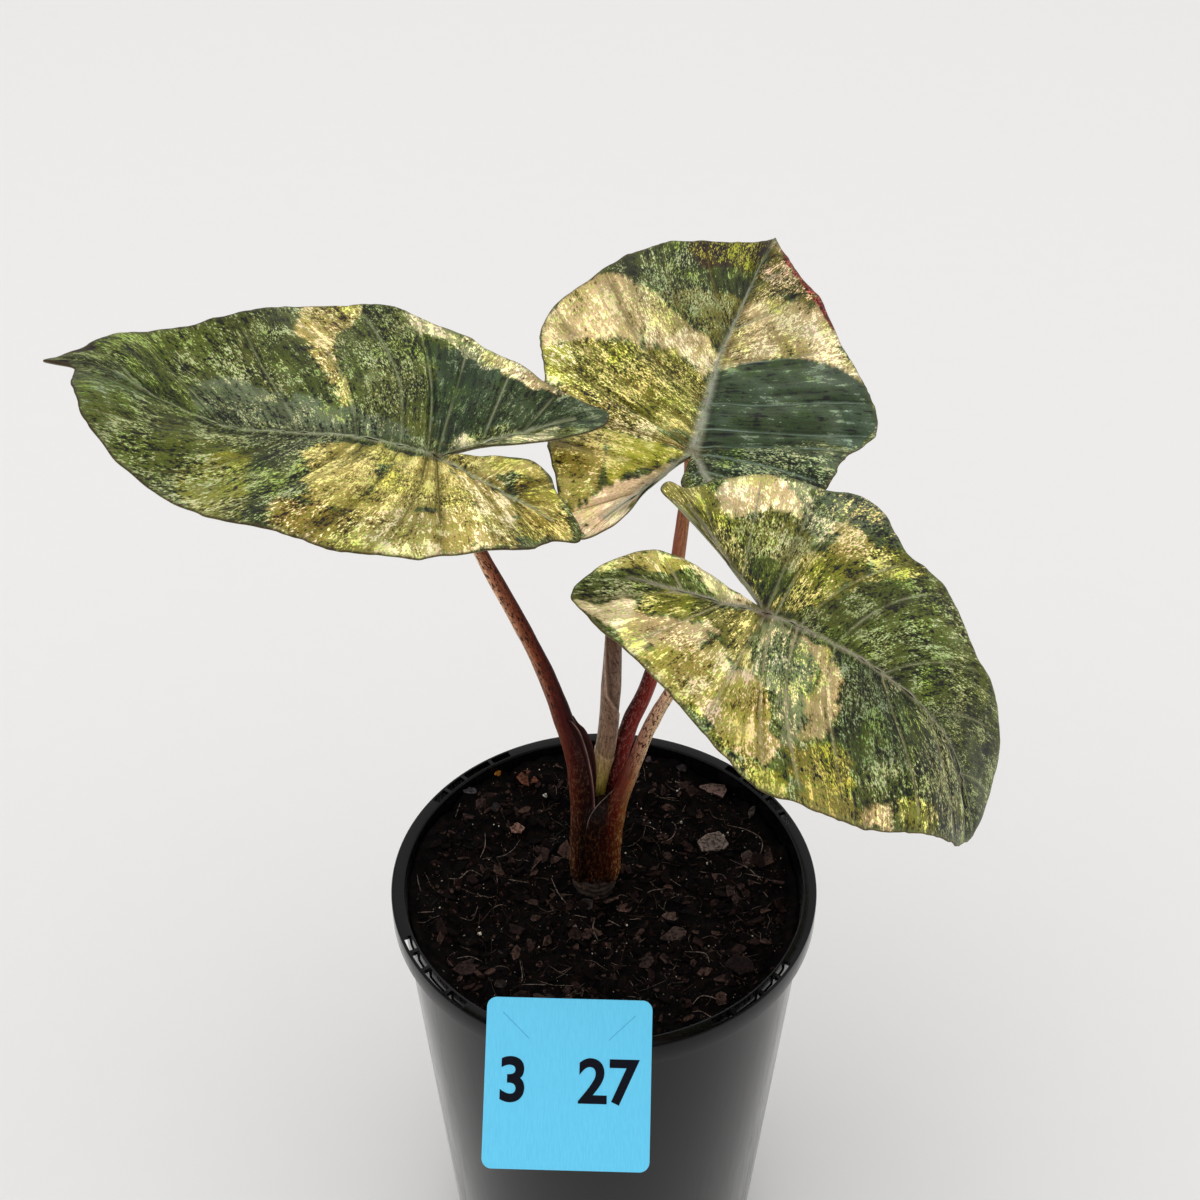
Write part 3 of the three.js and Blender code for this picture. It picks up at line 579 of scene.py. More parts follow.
def mixSurface(x, y):
    swell = np.sin(x * 0.16 + 1) * np.cos(y * 0.19 - 0.6) + 0.5 * np.sin(x * 0.37 + y * 0.31)
    dish = mix["dish"] * (x * x + y * y) / pot["wallTopRadius"] ** 2
    cx, cy = mix["hollowCentre"]
    hollow = mix["hollow"] * np.exp(-((x - cx) ** 2 + (y - cy) ** 2) / mix["hollowSpread"])
    height = mix["level"] + mix["slopeX"] * x + mix["slopeY"] * y + dish - hollow + mix["lump"] * swell * 0.7
    return height + layeredNoise(x, y, 3, *mix["roughness"]) - 0.3


# Painted light and shade on a flake's points: painted shade under it, and a painted highlight along its upper rim
def paintedFlakeLight(sides):
    return [0.35] * sides + [0.8] * sides + [1.9] * sides + [0.95] * sides + [0.3, 0.85]


# One flake of bark: a rough low block, broader at its middle, of a few dozen faces
def flakeShape(draws, length, width, depth, sides):
    wobble = [draws.uniform(0.6, 1.2) for _ in range(sides)]
    shift = [draws.uniform(-0.36, 0.36) for _ in range(sides)]
    levels = ((0.8, -0.5), (1.0, -0.1), (0.98, 0.32), (0.86, 0.42))  # breadth and height of each ring
    points = []
    for share, height in levels:
        for i in range(sides):
            turn = 2 * math.pi * (i + shift[i]) / sides
            reach = wobble[i] * share
            points.append((length / 2 * reach * math.cos(turn), width / 2 * reach * math.sin(turn),
                           depth * (height + draws.uniform(-0.06, 0.06))))
    faces = ringFaces(len(levels), sides)[:-2]
    points += [(0, 0, -0.5 * depth), (0, 0, 0.45 * depth)]
    top = (len(levels) - 1) * sides
    for i in range(sides):
        faces.append((len(points) - 2, (i + 1) % sides, i))
        faces.append((len(points) - 1, top + i, top + (i + 1) % sides))
    return points, faces


def placed(points, place, turn, tiltX, tiltY):
    matrix = (Matrix.Translation(place) @ Matrix.Rotation(tiltX, 4, "X") @ Matrix.Rotation(tiltY, 4, "Y")
              @ Matrix.Rotation(turn, 4, "Z"))
    return [tuple(matrix @ Vector(p)) for p in points]


# A thin thread along a smooth curve, slimmer at its ends
def threadShape(curve, radius, steps, sides=5):
    centres, ahead, _ = evenWay(curve, steps)
    points = []
    for k in range(steps + 1):
        side = np.cross(ahead[k], (0.1, 0.2, 1.0))
        side /= np.linalg.norm(side)
        rise = np.cross(side, ahead[k])
        slim = radius * (0.35 + 0.65 * math.sin(math.pi * (k + 0.4) / (steps + 0.8)))
        for i in range(sides):
            turn = 2 * math.pi * i / sides
            points.append(tuple(centres[k] + slim * (math.cos(turn) * side + math.sin(turn) * rise)))
    return points, ringFaces(steps + 1, sides)


def mixHeightAt(x, y):
    return float(mixSurface(np.array([float(x)]), np.array([float(y)]))[0])


def mixReach():
    return wallRadius(mix["level"]) - pot["wall"] - mix["gap"] - 0.2


# A place drawn on the mix, away from the pot's wall
def drawPlace(draws, margin):
    turn, far = draws.uniform(0, 2 * math.pi), (mixReach() - margin) * math.sqrt(draws.random())
    return far * math.cos(turn), far * math.sin(turn)


def buildMixBody(material):
    bottom = pot["floor"] + mix["gap"]
    shares = np.linspace(0, 1, mix["rings"] + 1)[1:] ** 0.85  # rings lie closer near the wall
    turns = np.arange(mix["sides"]) * 2 * math.pi / mix["sides"]
    x = np.outer(mixReach() * shares, np.cos(turns))
    y = np.outer(mixReach() * shares, np.sin(turns))
    z = mixSurface(x, y)
    low = wallRadius(bottom) - pot["wall"] - mix["gap"]
    ring = np.stack([low * np.cos(turns), low * np.sin(turns), np.full(len(turns), float(bottom))], -1)
    points = np.vstack([[[0, 0, mixHeightAt(0, 0)]], np.stack([x, y, z], -1).reshape(-1, 3), ring,
                        [[0, 0, bottom]]])
    sides, faces = mix["sides"], []
    for i in range(sides):
        j = (i + 1) % sides
        faces.append((0, 1 + i, 1 + j))
        faces.append((len(points) - 1, len(points) - 1 - sides + j, len(points) - 1 - sides + i))
        for k in range(mix["rings"]):
            a, b = 1 + k * sides + i, 1 + k * sides + j
            faces.append((a, a + sides, b + sides, b))
    shade = 0.5 + 0.5 * softNoise(points, 2.2, 8)
    dark, light = np.array(linear(mix["dark"])), np.array(linear(mix["light"]))
    body = meshPiece("barkMix", points, faces, {"tone": dark + (light - dark) * shade[:, None] ** 2})
    body.data.shade_smooth()
    keepPiece(body, material, "bark_mix", "potting_mix")


def buildChips(draws, material):
    chips = newBag()
    for x0, y0, length, width, turn, colour in mix["markedChips"].values():
        points, faces = flakeShape(draws, length * 1.06, width * 1.06, 0.26 * width, 8)
        tilts = draws.uniform(-0.12, 0.12), draws.uniform(-0.12, 0.12)
        place = (x0, y0, mixHeightAt(x0, y0) + 0.1 * width)
        addShape(chips, placed(points, place, math.radians(turn), *tilts), faces, linear(colour), paintedFlakeLight(8))
    for _ in range(mix["shards"]):
        x0, y0 = drawPlace(draws, 5)
        length = 1.2 + 5.6 * draws.random() ** 3
        points, faces = flakeShape(draws, length, length * draws.uniform(0.3, 0.8), length * 0.2, 6)
        place = (x0, y0, mixHeightAt(x0, y0) + 0.1 * length)
        colour = linear(draws.choice(mix["browns"]))
        tilts = draws.uniform(-0.7, 0.7), draws.uniform(-0.7, 0.7)
        addShape(chips, placed(points, place, draws.uniform(0, 6.3), *tilts), faces, colour, paintedFlakeLight(6))
    bagPiece("barkChips", chips, material, "bark_mix", 22)


def buildCrumbs(draws, material):
    crumbs = newBag()
    for _ in range(mix["crumbs"]):
        x0, y0 = drawPlace(draws, 2.5)
        size = 0.4 + 1.5 * draws.random() ** 2.5
        points, faces = flakeShape(draws, size, size * draws.uniform(0.35, 0.9), size * 0.5, 5)
        place = (x0, y0, mixHeightAt(x0, y0) + 0.12 * size)
        tilts = draws.uniform(-1, 1), draws.uniform(-1, 1)
        # some small crumbs get a bright colour instead of a brown one: painted glints
        paintedGlint = size < 0.75 and draws.random() < 0.22
        tone = linear(draws.choice(mix["paintedGlints"] if paintedGlint else mix["browns"]))
        addShape(crumbs, placed(points, place, draws.uniform(0, 6.3), *tilts), faces, tone, paintedFlakeLight(5))
    bagPiece("barkCrumbs", crumbs, material, "bark_mix", 30)


def buildThreads(draws, material):
    threads = newBag()
    for way in mix["markedThreads"]:
        curve = [(a, b, mixHeightAt(a, b) + 0.75) for a, b in way]
        addShape(threads, *threadShape(curve, 0.17, 14), linear(mix["markedStraw"]))
    for _ in range(mix["threads"]):
        x0, y0 = drawPlace(draws, 8)
        heading, bend = draws.uniform(0, 6.3), draws.uniform(-0.5, 0.5)
        length, curve = draws.uniform(1.2, 3.2), []
        for k in range(4):
            curve.append((x0, y0, mixHeightAt(x0, y0) + draws.uniform(0.1, 0.7)))
            x0, y0 = x0 + length * math.cos(heading), y0 + length * math.sin(heading)
            heading += bend + draws.uniform(-0.4, 0.4)
            if math.hypot(x0, y0) > mixReach() - 1.5:
                break
        if len(curve) > 1:
            shape = threadShape(curve, draws.uniform(0.06, 0.13), 8)
            addShape(threads, *shape, linear(draws.choice(mix["straws"])))
    bagPiece("rootThreads", threads, material, "bark_mix")


def buildSpecks(draws, material):
    specks = newBag()
    places = [(a, b, draws.uniform(1.2, 1.9)) for a, b in mix["markedSpecks"]]
    places += [(*drawPlace(draws, 4), draws.uniform(0.3, 0.75)) for _ in range(mix["specks"])]
    for x0, y0, size in places:
        points, faces = flakeShape(draws, size, size * draws.uniform(0.6, 1), size * 0.7, 6)
        place = (x0, y0, mixHeightAt(x0, y0) + 0.55 * size + 0.15)
        tone = linear(draws.choice(mix["whites"]))
        addShape(specks, placed(points, place, draws.uniform(0, 6.3), 0.4, 0.3), faces, tone)
    bagPiece("whiteSpecks", specks, material, "bark_mix")


def mixMaterial():
    material, tree, shader = newMaterial("barkMixMaterial")
    place = objectPlace(tree)
    grain = noiseNode(tree, place, 900, 4, 0.7)
    blotch = noiseNode(tree, place, 260, 3, 0.6)
    tone = pointAttribute(tree, "tone")
    colour = mixNode(tree, stepNode(tree, grain, 0.4, 0.58), mixNode(tree, 0.8, tone, (0, 0, 0)), tone)
    colour = mixNode(tree, stepNode(tree, blotch, 0.5, 0.72, 0, 0.4), colour,
                     mixNode(tree, 0.25, tone, linear("#3f2a22")))
    dressShader(tree, shader, colour, stepNode(tree, grain, 0.3, 0.7, 0.62, 0.9), 0.06, (grain, 0.6, 0.0004))
    return material


def buildMix():
    draws = random.Random(mix["seed"])
    material = mixMaterial()
    buildMixBody(material)
    for build in (buildChips, buildCrumbs, buildThreads, buildSpecks):
        build(draws, material)
    print("bark mix ready")


buildMix()

# Leaves: their outlines are (along the midrib, across it) in mm, as in the part

leaves = {
    "left": {
        "midrib": [(-47.3, 13, 340.3), (-66, 15, 344.4), (-86, 17, 345.1), (-106, 19, 345.6),
                   (-123.7, 21.5, 352.6), (-139.5, 24, 362.2), (-157, 26, 363.7)],
        "roll": 0, "twist": 0, "fold": 0.16, "droop": (0.12, 0.02), "lobeDrop": (0.33, 0.33),
        "wave": (1.6, 9, 0.6), "lobeAngle": 143, "lobeFold": 0.25, "notch": (-2, -1.5),
        "halves": [
            {"lobe": 4, "shoulder": 7,
             "outline": [(-10, -4), (-27, -5), (-36, 8), (-44, 23), (-36, 26), (-29, 39), (-9, 47), (1, 51),
                         (16, 52), (28, 49), (50, 47), (60, 41), (85, 31), (96, 25), (102, 14), (106, 3)]},
            {"lobe": 5, "shoulder": 9,
             "outline": [(-11, -8), (-22, -13), (-33, -19), (-44, -30), (-45, -38), (-33, -38), (-23, -38),
                         (-11, -44), (0, -54), (13, -53), (24, -58), (37, -61), (52, -59), (67, -49),
                         (77, -40), (95, -21), (103, -12), (108, -5)]},
        ],
        "ribWidth": 0.6, "rib": "#a0a58c", "band": "#65685a",
        "veins": ("#5a5634", "#8f967c"), "margin": "#463628", "under": "#9aa183", "attach": "#5c4f44",
    },
    "back": {
        "midrib": [(27, 47, 318), (32, 70, 321.5), (37, 92, 324), (44, 114, 326), (51, 136, 328), (59, 157, 331)],
        "roll": 10, "twist": 8, "fold": 0.12, "droop": (0.14, 0.16), "lobeDrop": (0.4, 1.9),
        "wave": (1.6, 9, 2), "lobeAngle": 143, "lobeFold": 0.25, "notch": (-2, 0.5),
        "halves": [
            {"lobe": 5, "shoulder": 8,
             "outline": [(-12, 7), (-22, 11), (-33, 14), (-43, 20), (-46, 25), (-37, 32), (-14, 43), (3, 47),
                         (24, 53), (38, 57), (46, 56), (57, 49), (83, 39), (93, 31), (98, 22), (104, 10),
                         (112, 2)]},
            {"lobe": 5, "shoulder": 8,
             "outline": [(-8, 1), (-14, 1), (-19, -1), (-24, -6), (-28, -17), (-26, -29), (-10, -39), (1, -42),
                         (20, -47), (29, -52), (39, -55), (52, -51), (76, -37), (95, -23), (100, -15),
                         (107, -7)]},
        ],
        "ribWidth": 1.4, "rib": "#a3a596", "band": "#6c6a54",
        "veins": ("#7b6a44", "#7f9086"), "margin": "#4a382c", "under": "#a2a68a", "attach": "#8d8a72",
    },
    "right": {
        "midrib": [(46, -10, 302), (65, -18, 297), (84, -24, 286), (98, -27, 270), (106, -28, 250),
                   (111, -28, 229)],
        "roll": 14, "twist": 0, "fold": 0.2, "droop": (0.24, 0.15), "lobeDrop": (0.1, 0.3),
        "wave": (1.6, 9, 4), "lobeAngle": 143, "lobeFold": 0.25, "notch": (-2.5, 1),
        "halves": [
            {"lobe": 5, "shoulder": 9,
             "outline": [(-7, 5), (-21, 12), (-36, 19), (-44, 22), (-43, 26), (-38, 27), (-28, 37), (-15, 44),
                         (-3, 51), (7, 57), (15, 54), (30, 41), (38, 42), (45, 41), (59, 27), (69, 26),
                         (82, 25), (94, 23), (103, 17), (108, 8)]},
            {"lobe": 4, "shoulder": 8,
             "outline": [(-11, 2), (-29, 3), (-38, 0), (-49, -14), (-51, -23), (-44, -27), (-23, -37),
                         (-1, -46), (20, -53), (28, -53), (39, -51), (54, -44), (84, -24), (97, -14),
                         (106, -5)]},
        ],
        "ribWidth": 0.7, "rib": "#989484", "band": "#7b8168",
        "veins": ("#94967c", "#a8a082"), "margin": "#54422e", "under": "#9da486", "attach": "#6f6058",
    },
}

blade = {
    "thickness": 0.8, "ribDepth": 1.5, "lobeRibDepth": 1.0, "veinDepth": 0.5, "groove": 0.4, "quilt": 1.0,
    "lateralVeins": 7, "lobeVeins": 3, "rowsPerVein": 22, "rowsPerLobeVein": 16, "rings": 72,
    "lobeRibReach": 0.72, "veinSweep": 1.9, "waveReach": 55, "bow": 0.09, "crease": 0.34,
    "crest": 0.3, "trough": 0.4,  # the raised line of the midrib, and the hollow beside it
    "roundRim": 0.7, "veinFade": 9,  # how far from the rim the blade is full thick, and its veins full deep
    "surface": ((0.16, 3.6, 5), (0.08, 1.5, 6)), "fray": ((0.45, 5, 9), (0.2, 1.9, 8)),
    "ragged": ((1.3, 5.5, 1), (1.1, 2.7, 3), (0.8, 1.4, 4)), "clouds": ((0.55, 8, 11), (0.5, 3.4, 12)),
    "hues": ((1, 10, 15), (0.6, 3.5, 16)), "lime": (-0.08, 0.05, -0.5), "rust": (0.06, -0.03, -0.1),
    "greyBlue": (-0.06, 0, 0.1), "tintShares": (0.2, 0.45, 1), "nearReach": 75,
    "veinWidth": 0.34, "veinShadow": (0.9, 0.5, 0.3), "ribShadow": (1.3, 1.0, 0.4),  # how far off, width, depth
    "bandDepth": 0.4, "marginWidth": 0.6, "marginDepth": 0.9, "attachReach": 2.0, "sheen": 0.026,
    # the crease tone paints light on the creases' ridges and shade in their folds
    "waySteps": 160, "band": 2.0, "cloudLift": 0.45, "cloudSink": 0.5, "creaseShading": 0.3,
    "gains": ((0.38, 0.2), (0.98, 0.14), (1.75, -0.2)),  # of the dark, middle and light tone, and more where it is pale
    # how strong the flecks are in calmer patches
    "calm": {"rightPine": 0.22, "farLobe": 0.6, "farGrey": 0.75, "creamLeft": 0.8, "upDark": 0.6, "nearIvory": 0.8,
             "lobeCream": 0.7, "rightPink": 0.85, "upPale": 0.6, "paleFan": 0.6, "silver": 0.65, "oliveFan": 0.75,
             "blushMid": 0.7, "lobeTop": 0.75, "pinkEdge": 0.7},
}

# Tones of the leaves: each patch has a dark, a middle and a light one
tones = {
    "ink": "#23280f", "soot": "#30291a", "forest": "#3a4120", "fern": "#4b5230",
    "deepSage": "#4a5847", "moss": "#626a3d", "sage": "#6f7a62", "olive": "#6f6a28", "khaki": "#857f48",
    "grass": "#8b8a42", "silver": "#8f9872", "lichen": "#a0a37c", "straw": "#b1a35e", "lime": "#b3b04e",
    "butter": "#d0c582", "cream": "#dccfa0", "ivory": "#ebdfb8", "tan": "#bda77a", "sand": "#cbb486",
    "clay": "#8a7440", "umber": "#54431f", "blush": "#dcc0a2", "bark": "#6a5432", "mud": "#4b3f25",
    "night": "#2b3828", "spruce": "#4a584a", "frost": "#6c7a68", "plum": "#33212a", "wine": "#6e3038",
    "crimson": "#8a3040", "rose": "#b8705f", "ochre": "#9c8d4a", "loden": "#575e37", "peach": "#eecda8",
}

# Patches of each half (1 is the half on the left of the midrib), painted in this order: name, dark, middle and light
# tone, and corners as (along, across)
patches = {
    ("left", 1): [
        ("nearTip", "forest", "moss", "sage",
         [(110, 0), (107, -3), (93, 1), (83, 0), (78, 1), (80, 13), (89, 20), (88, 30), (101, 18)]),
        ("plumTipNear", "plum", "plum", "mud",
         [(106, 0), (119, 0), (119, 9), (105, 10), (103, 4)]),
        ("nearOlive", "fern", "moss", "silver",
         [(93, 16), (83, 0), (78, 1), (69, 2), (63, 2), (65, 11), (78, 17), (88, 23)]),
        ("nearDark", "fern", "moss", "silver",
         [(91, 26), (78, 17), (63, 4), (54, 0), (52, 11), (59, 16), (67, 26), (58, 47), (71, 37), (85, 31)]),
        ("nearMoss", "fern", "grass", "lichen",
         [(67, 26), (59, 16), (51, 15), (45, 36), (44, 48), (53, 47), (60, 41)]),
        ("nearPine", "forest", "fern", "silver",
         [(55, 2), (39, 0), (30, 1), (21, 1), (32, 8), (36, 13), (31, 34), (34, 47), (43, 48), (48, 24)]),
        ("nearStraw", "olive", "straw", "butter",
         [(36, 12), (31, 6), (21, 2), (15, 2), (9, 4), (12, 14), (14, 25), (14, 35), (21, 37), (30, 35), (30, 28)]),
        ("nearClay", "bark", "ochre", "cream",
         [(37, 47), (36, 36), (30, 35), (14, 35), (12, 55), (23, 51), (31, 49)]),
        ("nearLime", "olive", "straw", "butter",
         [(9, 4), (0, 1), (-7, 9), (-14, 19), (-13, 26), (5, 31), (14, 38), (14, 26), (12, 14)]),
        ("nearCream", "clay", "straw", "cream",
         [(14, 38), (5, 30), (-13, 25), (-18, 46), (-9, 48), (1, 52), (13, 53)]),
        ("nearRight", "olive", "straw", "butter",
         [(0, 0), (-9, -5), (-29, -5), (-33, 2), (-24, 5), (-13, 6), (-7, 9)]),
        ("nearIvory", "olive", "straw", "ivory",
         [(-7, 9), (-19, 6), (-24, 13), (-28, 36), (-20, 45), (-17, 43), (-13, 26), (-14, 19)]),
        ("nearLobeGreen", "olive", "ochre", "butter",
         [(-19, 6), (-33, 2), (-39, 13), (-43, 23), (-36, 25), (-28, 33), (-24, 15)]),
    ],
    ("left", -1): [
        ("tipHalfFar", "forest", "moss", "silver",
         [(115, -1), (109, -10), (98, -22), (88, -33), (74, -43), (68, -33), (70, -18), (76, -4), (83, 1), (93, 1),
          (107, -3)]),
        ("farDark", "forest", "loden", "silver",
         [(79, -41), (67, -52), (52, -61), (47, -40), (39, -26), (33, -13), (42, -13), (58, -16), (72, -15),
          (72, -31)]),
        ("farGrey", "fern", "sage", "lichen",
         [(74, -7), (67, -20), (45, -16), (32, -14), (12, -9), (2, -2), (11, -1), (28, 0), (47, -1), (60, 0),
          (69, 1)]),
        ("farCream", "bark", "straw", "cream",
         [(51, -49), (50, -62), (33, -62), (34, -51), (37, -40), (32, -25), (27, -15), (29, -12), (37, -23),
          (43, -34), (47, -41)]),
        ("farOlive", "forest", "moss", "silver",
         [(34, -53), (31, -54), (25, -25), (23, -8), (27, -14), (32, -25), (36, -41)]),
        ("farGreen", "forest", "moss", "silver",
         [(33, -62), (22, -59), (15, -56), (9, -38), (2, -6), (2, -2), (12, -9), (23, -10), (27, -34)]),
        ("farLobe", "forest", "deepSage", "sage",
         [(11, -44), (-4, -47), (-24, -36), (-46, -40), (-44, -27), (-28, -22), (-16, -16), (-5, -9), (-1, -1),
          (3, -6)]),
        ("plumTip", "plum", "plum", "mud",
         [(105, -12), (119, -9), (119, 0), (106, 0), (103, -5)]),
        ("farLobeUnder", "moss", "silver", "ivory",
         [(-2, -5), (-8, -10), (-21, -18), (-32, -23), (-29, -14), (-17, -9), (-9, -5)]),
        ("farRimGrey", "khaki", "lichen", "ivory",
         [(25, -61), (11, -57), (-6, -53), (-24, -40), (-24, -36), (-11, -39), (6, -47), (16, -48)]),
        ("farRimCream", "sage", "tan", "ivory",
         [(3, -56), (-11, -47), (-26, -40), (-34, -40), (-30, -36), (-21, -34), (-13, -38), (-4, -48)]),
    ],
    ("back", 1): [
        ("topBand", "forest", "fern", "silver",
         [(62, 52), (71, 46), (90, 34), (100, 23), (115, 1), (99, 1), (84, 0), (70, 0), (51, 0), (48, 2), (55, 9),
          (64, 19), (64, 27), (64, 33), (62, 40), (61, 47)]),
        ("topBrown", "soot", "mud", "grass",
         [(98, 26), (115, 1), (101, 1), (90, 4), (86, 18)]),
        ("midBand", "fern", "khaki", "silver",
         [(65, 28), (74, 15), (77, 0), (70, 0), (51, 0), (48, 2), (56, 13)]),
        ("creamLeft", "grass", "sand", "cream",
         [(52, 53), (61, 47), (64, 33), (62, 25), (38, 25), (35, 34), (33, 49), (30, 54), (41, 56)]),
        ("creamMid", "grass", "sand", "ivory",
         [(64, 33), (64, 26), (56, 13), (47, 2), (31, 2), (36, 8), (41, 16), (38, 25)]),
        ("limeEnd", "clay", "lime", "ivory",
         [(31, 55), (34, 45), (26, 38), (13, 40), (10, 49)]),
        ("limeStreak", "olive", "grass", "butter",
         [(34, 45), (38, 25), (41, 16), (36, 8), (30, 1), (6, 0), (5, 12), (9, 25), (13, 40)]),
        ("tanStrip", "fern", "ochre", "cream",
         [(11, 49), (13, 35), (9, 24), (5, 12), (2, 1), (-1, 13), (0, 29), (2, 45)]),
        ("limeLow", "olive", "lime", "butter",
         [(-1, 29), (-1, 13), (0, 1), (-9, 7), (-15, 14), (-22, 22), (-14, 27)]),
        ("brownPatch", "umber", "ochre", "butter",
         [(-11, 46), (0, 29), (-13, 25), (-22, 25), (-28, 37)]),
        ("lowGreen", "olive", "straw", "cream",
         [(-27, 38), (-21, 24), (-26, 24), (-32, 28), (-39, 29), (-33, 34)]),
        ("pinkEdge", "tan", "peach", "ivory",
         [(-38, 28), (-30, 27), (-23, 22), (-13, 10), (-1, 1), (-13, 6), (-24, 11), (-34, 14), (-45, 20), (-47, 25)]),
    ],
    ("back", -1): [
        ("rightTop", "umber", "khaki", "blush",
         [(89, 0), (109, 0), (116, 0), (109, -7), (100, -16), (94, -24), (86, -18), (82, -8), (76, -1)]),
        ("rightTan", "khaki", "tan", "cream",
         [(76, -1), (82, -8), (86, -18), (94, -24), (87, -31), (78, -35), (72, -27), (63, -20), (50, -11),
          (40, -2), (46, 1), (70, 0)]),
        ("rightPink", "grass", "sand", "ivory",
         [(82, -18), (94, -25), (84, -34), (76, -38), (71, -29), (72, -21)]),
        ("rightCream", "moss", "tan", "ivory",
         [(39, -2), (52, -4), (65, -16), (79, -35), (67, -44), (57, -49), (61, -41), (65, -31), (60, -21), (47, -12)]),
        ("rightPine", "night", "spruce", "frost",
         [(39, -2), (48, -11), (60, -21), (66, -32), (63, -42), (56, -50), (41, -56), (25, -50), (7, -20), (3, -1),
          (24, 0)]),
        ("crimsonEdge", "wine", "crimson", "rose",
         [(114, -1), (108, -9), (101, -17), (96, -24), (85, -34), (83, -31), (93, -22), (98, -14), (105, -6)]),
        ("rightLow", "forest", "deepSage", "silver",
         [(0, 0), (8, -19), (25, -50), (9, -44), (-1, -41), (-12, -29), (-18, -6), (-12, 0)]),
    ],
    ("right", 1): [
        ("upStrip", "fern", "khaki", "butter",
         [(-2, 1), (-7, 4), (-15, 7), (-28, 13), (-45, 20), (-45, 26), (-37, 28), (-28, 28), (-20, 22), (-10, 14),
          (-1, 4)]),
        ("upPale", "silver", "sand", "ivory",
         [(-30, 30), (-28, 37), (-23, 42), (-13, 45), (-6, 45), (-1, 37), (-6, 32), (-14, 28), (-20, 24), (-24, 25)]),
        ("upOlive", "bark", "silver", "cream",
         [(-13, 45), (-5, 50), (0, 40), (7, 39), (4, 26), (0, 26), (-2, 35)]),
        ("upSilver", "moss", "khaki", "lichen",
         [(-20, 23), (-14, 28), (-6, 32), (-1, 32), (4, 26), (2, 14), (-6, 16), (-10, 12)]),
        ("upDark", "night", "fern", "moss",
         [(-10, 13), (-7, 16), (1, 14), (1, 5), (0, 1), (-4, 4)]),
        ("fanOlive", "fern", "grass", "butter",
         [(0, 1), (2, 14), (4, 26), (9, 27), (19, 30), (20, 24), (15, 13), (9, 5), (4, 1)]),
        ("fanCream", "moss", "straw", "cream",
         [(7, 39), (10, 43), (18, 39), (20, 30), (14, 27), (7, 28)]),
        ("upRight", "forest", "sage", "butter",
         [(-5, 51), (7, 60), (18, 52), (29, 43), (23, 33), (16, 40), (8, 43), (1, 41)]),
        ("midRight", "fern", "khaki", "butter",
         [(18, 36), (29, 43), (39, 42), (38, 38), (28, 28), (22, 18), (15, 12), (21, 26)]),
        ("belowVein", "mud", "moss", "silver",
         [(9, 4), (15, 12), (29, 28), (38, 39), (47, 41), (53, 33), (60, 28), (47, 15), (39, 10), (32, 4), (17, 0)]),
        ("farGreen", "forest", "moss", "silver",
         [(32, 3), (47, 15), (60, 28), (78, 29), (95, 25), (73, 2), (60, 0), (46, 1)]),
        ("tipGreen", "forest", "loden", "silver",
         [(60, 0), (72, 2), (93, 25), (107, 19), (113, 2), (94, 1), (75, 1)]),
    ],
    ("right", -1): [
        ("lobeTop", "tan", "cream", "ivory",
         [(-3, 1), (-11, 2), (-21, 3), (-29, 3), (-37, 0), (-38, -5), (-26, -2), (-13, -2)]),
        ("lobeLime", "olive", "straw", "cream",
         [(-50, -13), (-45, -5), (-35, 2), (-25, 2), (-26, -3), (-37, -7), (-46, -15)]),
        ("lobeGreen", "umber", "moss", "lichen",
         [(-51, -24), (-51, -15), (-37, -7), (-28, -8), (-32, -15), (-43, -21)]),
        ("lobeCream", "tan", "cream", "ivory",
         [(-51, -24), (-43, -20), (-33, -15), (-30, -20), (-32, -27), (-40, -28)]),
        ("lobeFlecks", "fern", "grass", "butter",
         [(-34, -14), (-28, -8), (-18, -6), (-9, -3), (-10, -10), (-17, -16), (-25, -18), (-31, -19)]),
        ("lobeBlot", "clay", "tan", "cream",
         [(-34, -28), (-30, -20), (-17, -16), (-10, -10), (-9, -17), (-13, -26), (-23, -32), (-27, -35)]),
        ("silver", "fern", "khaki", "butter",
         [(-17, -8), (-3, 0), (0, -1), (2, -10), (5, -22), (-1, -22), (-6, -16), (-12, -13)]),
        ("strawLow", "olive", "straw", "cream",
         [(-27, -34), (-13, -25), (-6, -17), (0, -24), (-5, -34), (-6, -41), (-14, -42)]),
        ("blushMid", "clay", "straw", "blush",
         [(-5, -34), (0, -23), (5, -23), (12, -28), (19, -40), (19, -46), (12, -48), (3, -45), (-6, -41)]),
        ("oliveFan", "moss", "silver", "cream",
         [(0, -1), (8, -1), (16, -2), (23, -17), (26, -31), (20, -39), (12, -28), (5, -22)]),
        ("paleFan", "khaki", "tan", "cream",
         [(12, -2), (20, -1), (27, -10), (30, -21), (29, -32), (23, -35), (21, -22), (20, -12)]),
        ("oliveEdge", "mud", "grass", "butter",
         [(-6, -41), (3, -45), (12, -48), (21, -47), (29, -49), (28, -55), (19, -54), (8, -51)]),
        ("tanEdge", "forest", "khaki", "straw",
         [(19, -40), (29, -32), (38, -31), (43, -40), (54, -44), (40, -52), (28, -54), (29, -48), (22, -46)]),
        ("rightDeep", "forest", "fern", "sage",
         [(11, 0), (30, 1), (44, 0), (54, -14), (57, -28), (47, -39), (39, -31), (29, -32), (30, -21), (27, -10),
          (20, -1)]),
        ("rightFleck", "ink", "fern", "lichen",
         [(39, 0), (60, 0), (75, 1), (94, 1), (114, 1), (85, -25), (64, -26), (57, -28), (54, -14)]),
        ("strawSpot", "forest", "khaki", "butter",
         [(55, -33), (62, -26), (73, -22), (78, -28), (69, -37)]),
        ("creamSpot", "khaki", "tan", "cream",
         [(48, -40), (55, -34), (62, -39), (52, -45)]),
        ("lowGreen", "forest", "loden", "silver",
         [(39, -33), (52, -21), (59, -28), (55, -34), (48, -40)]),
    ],
}


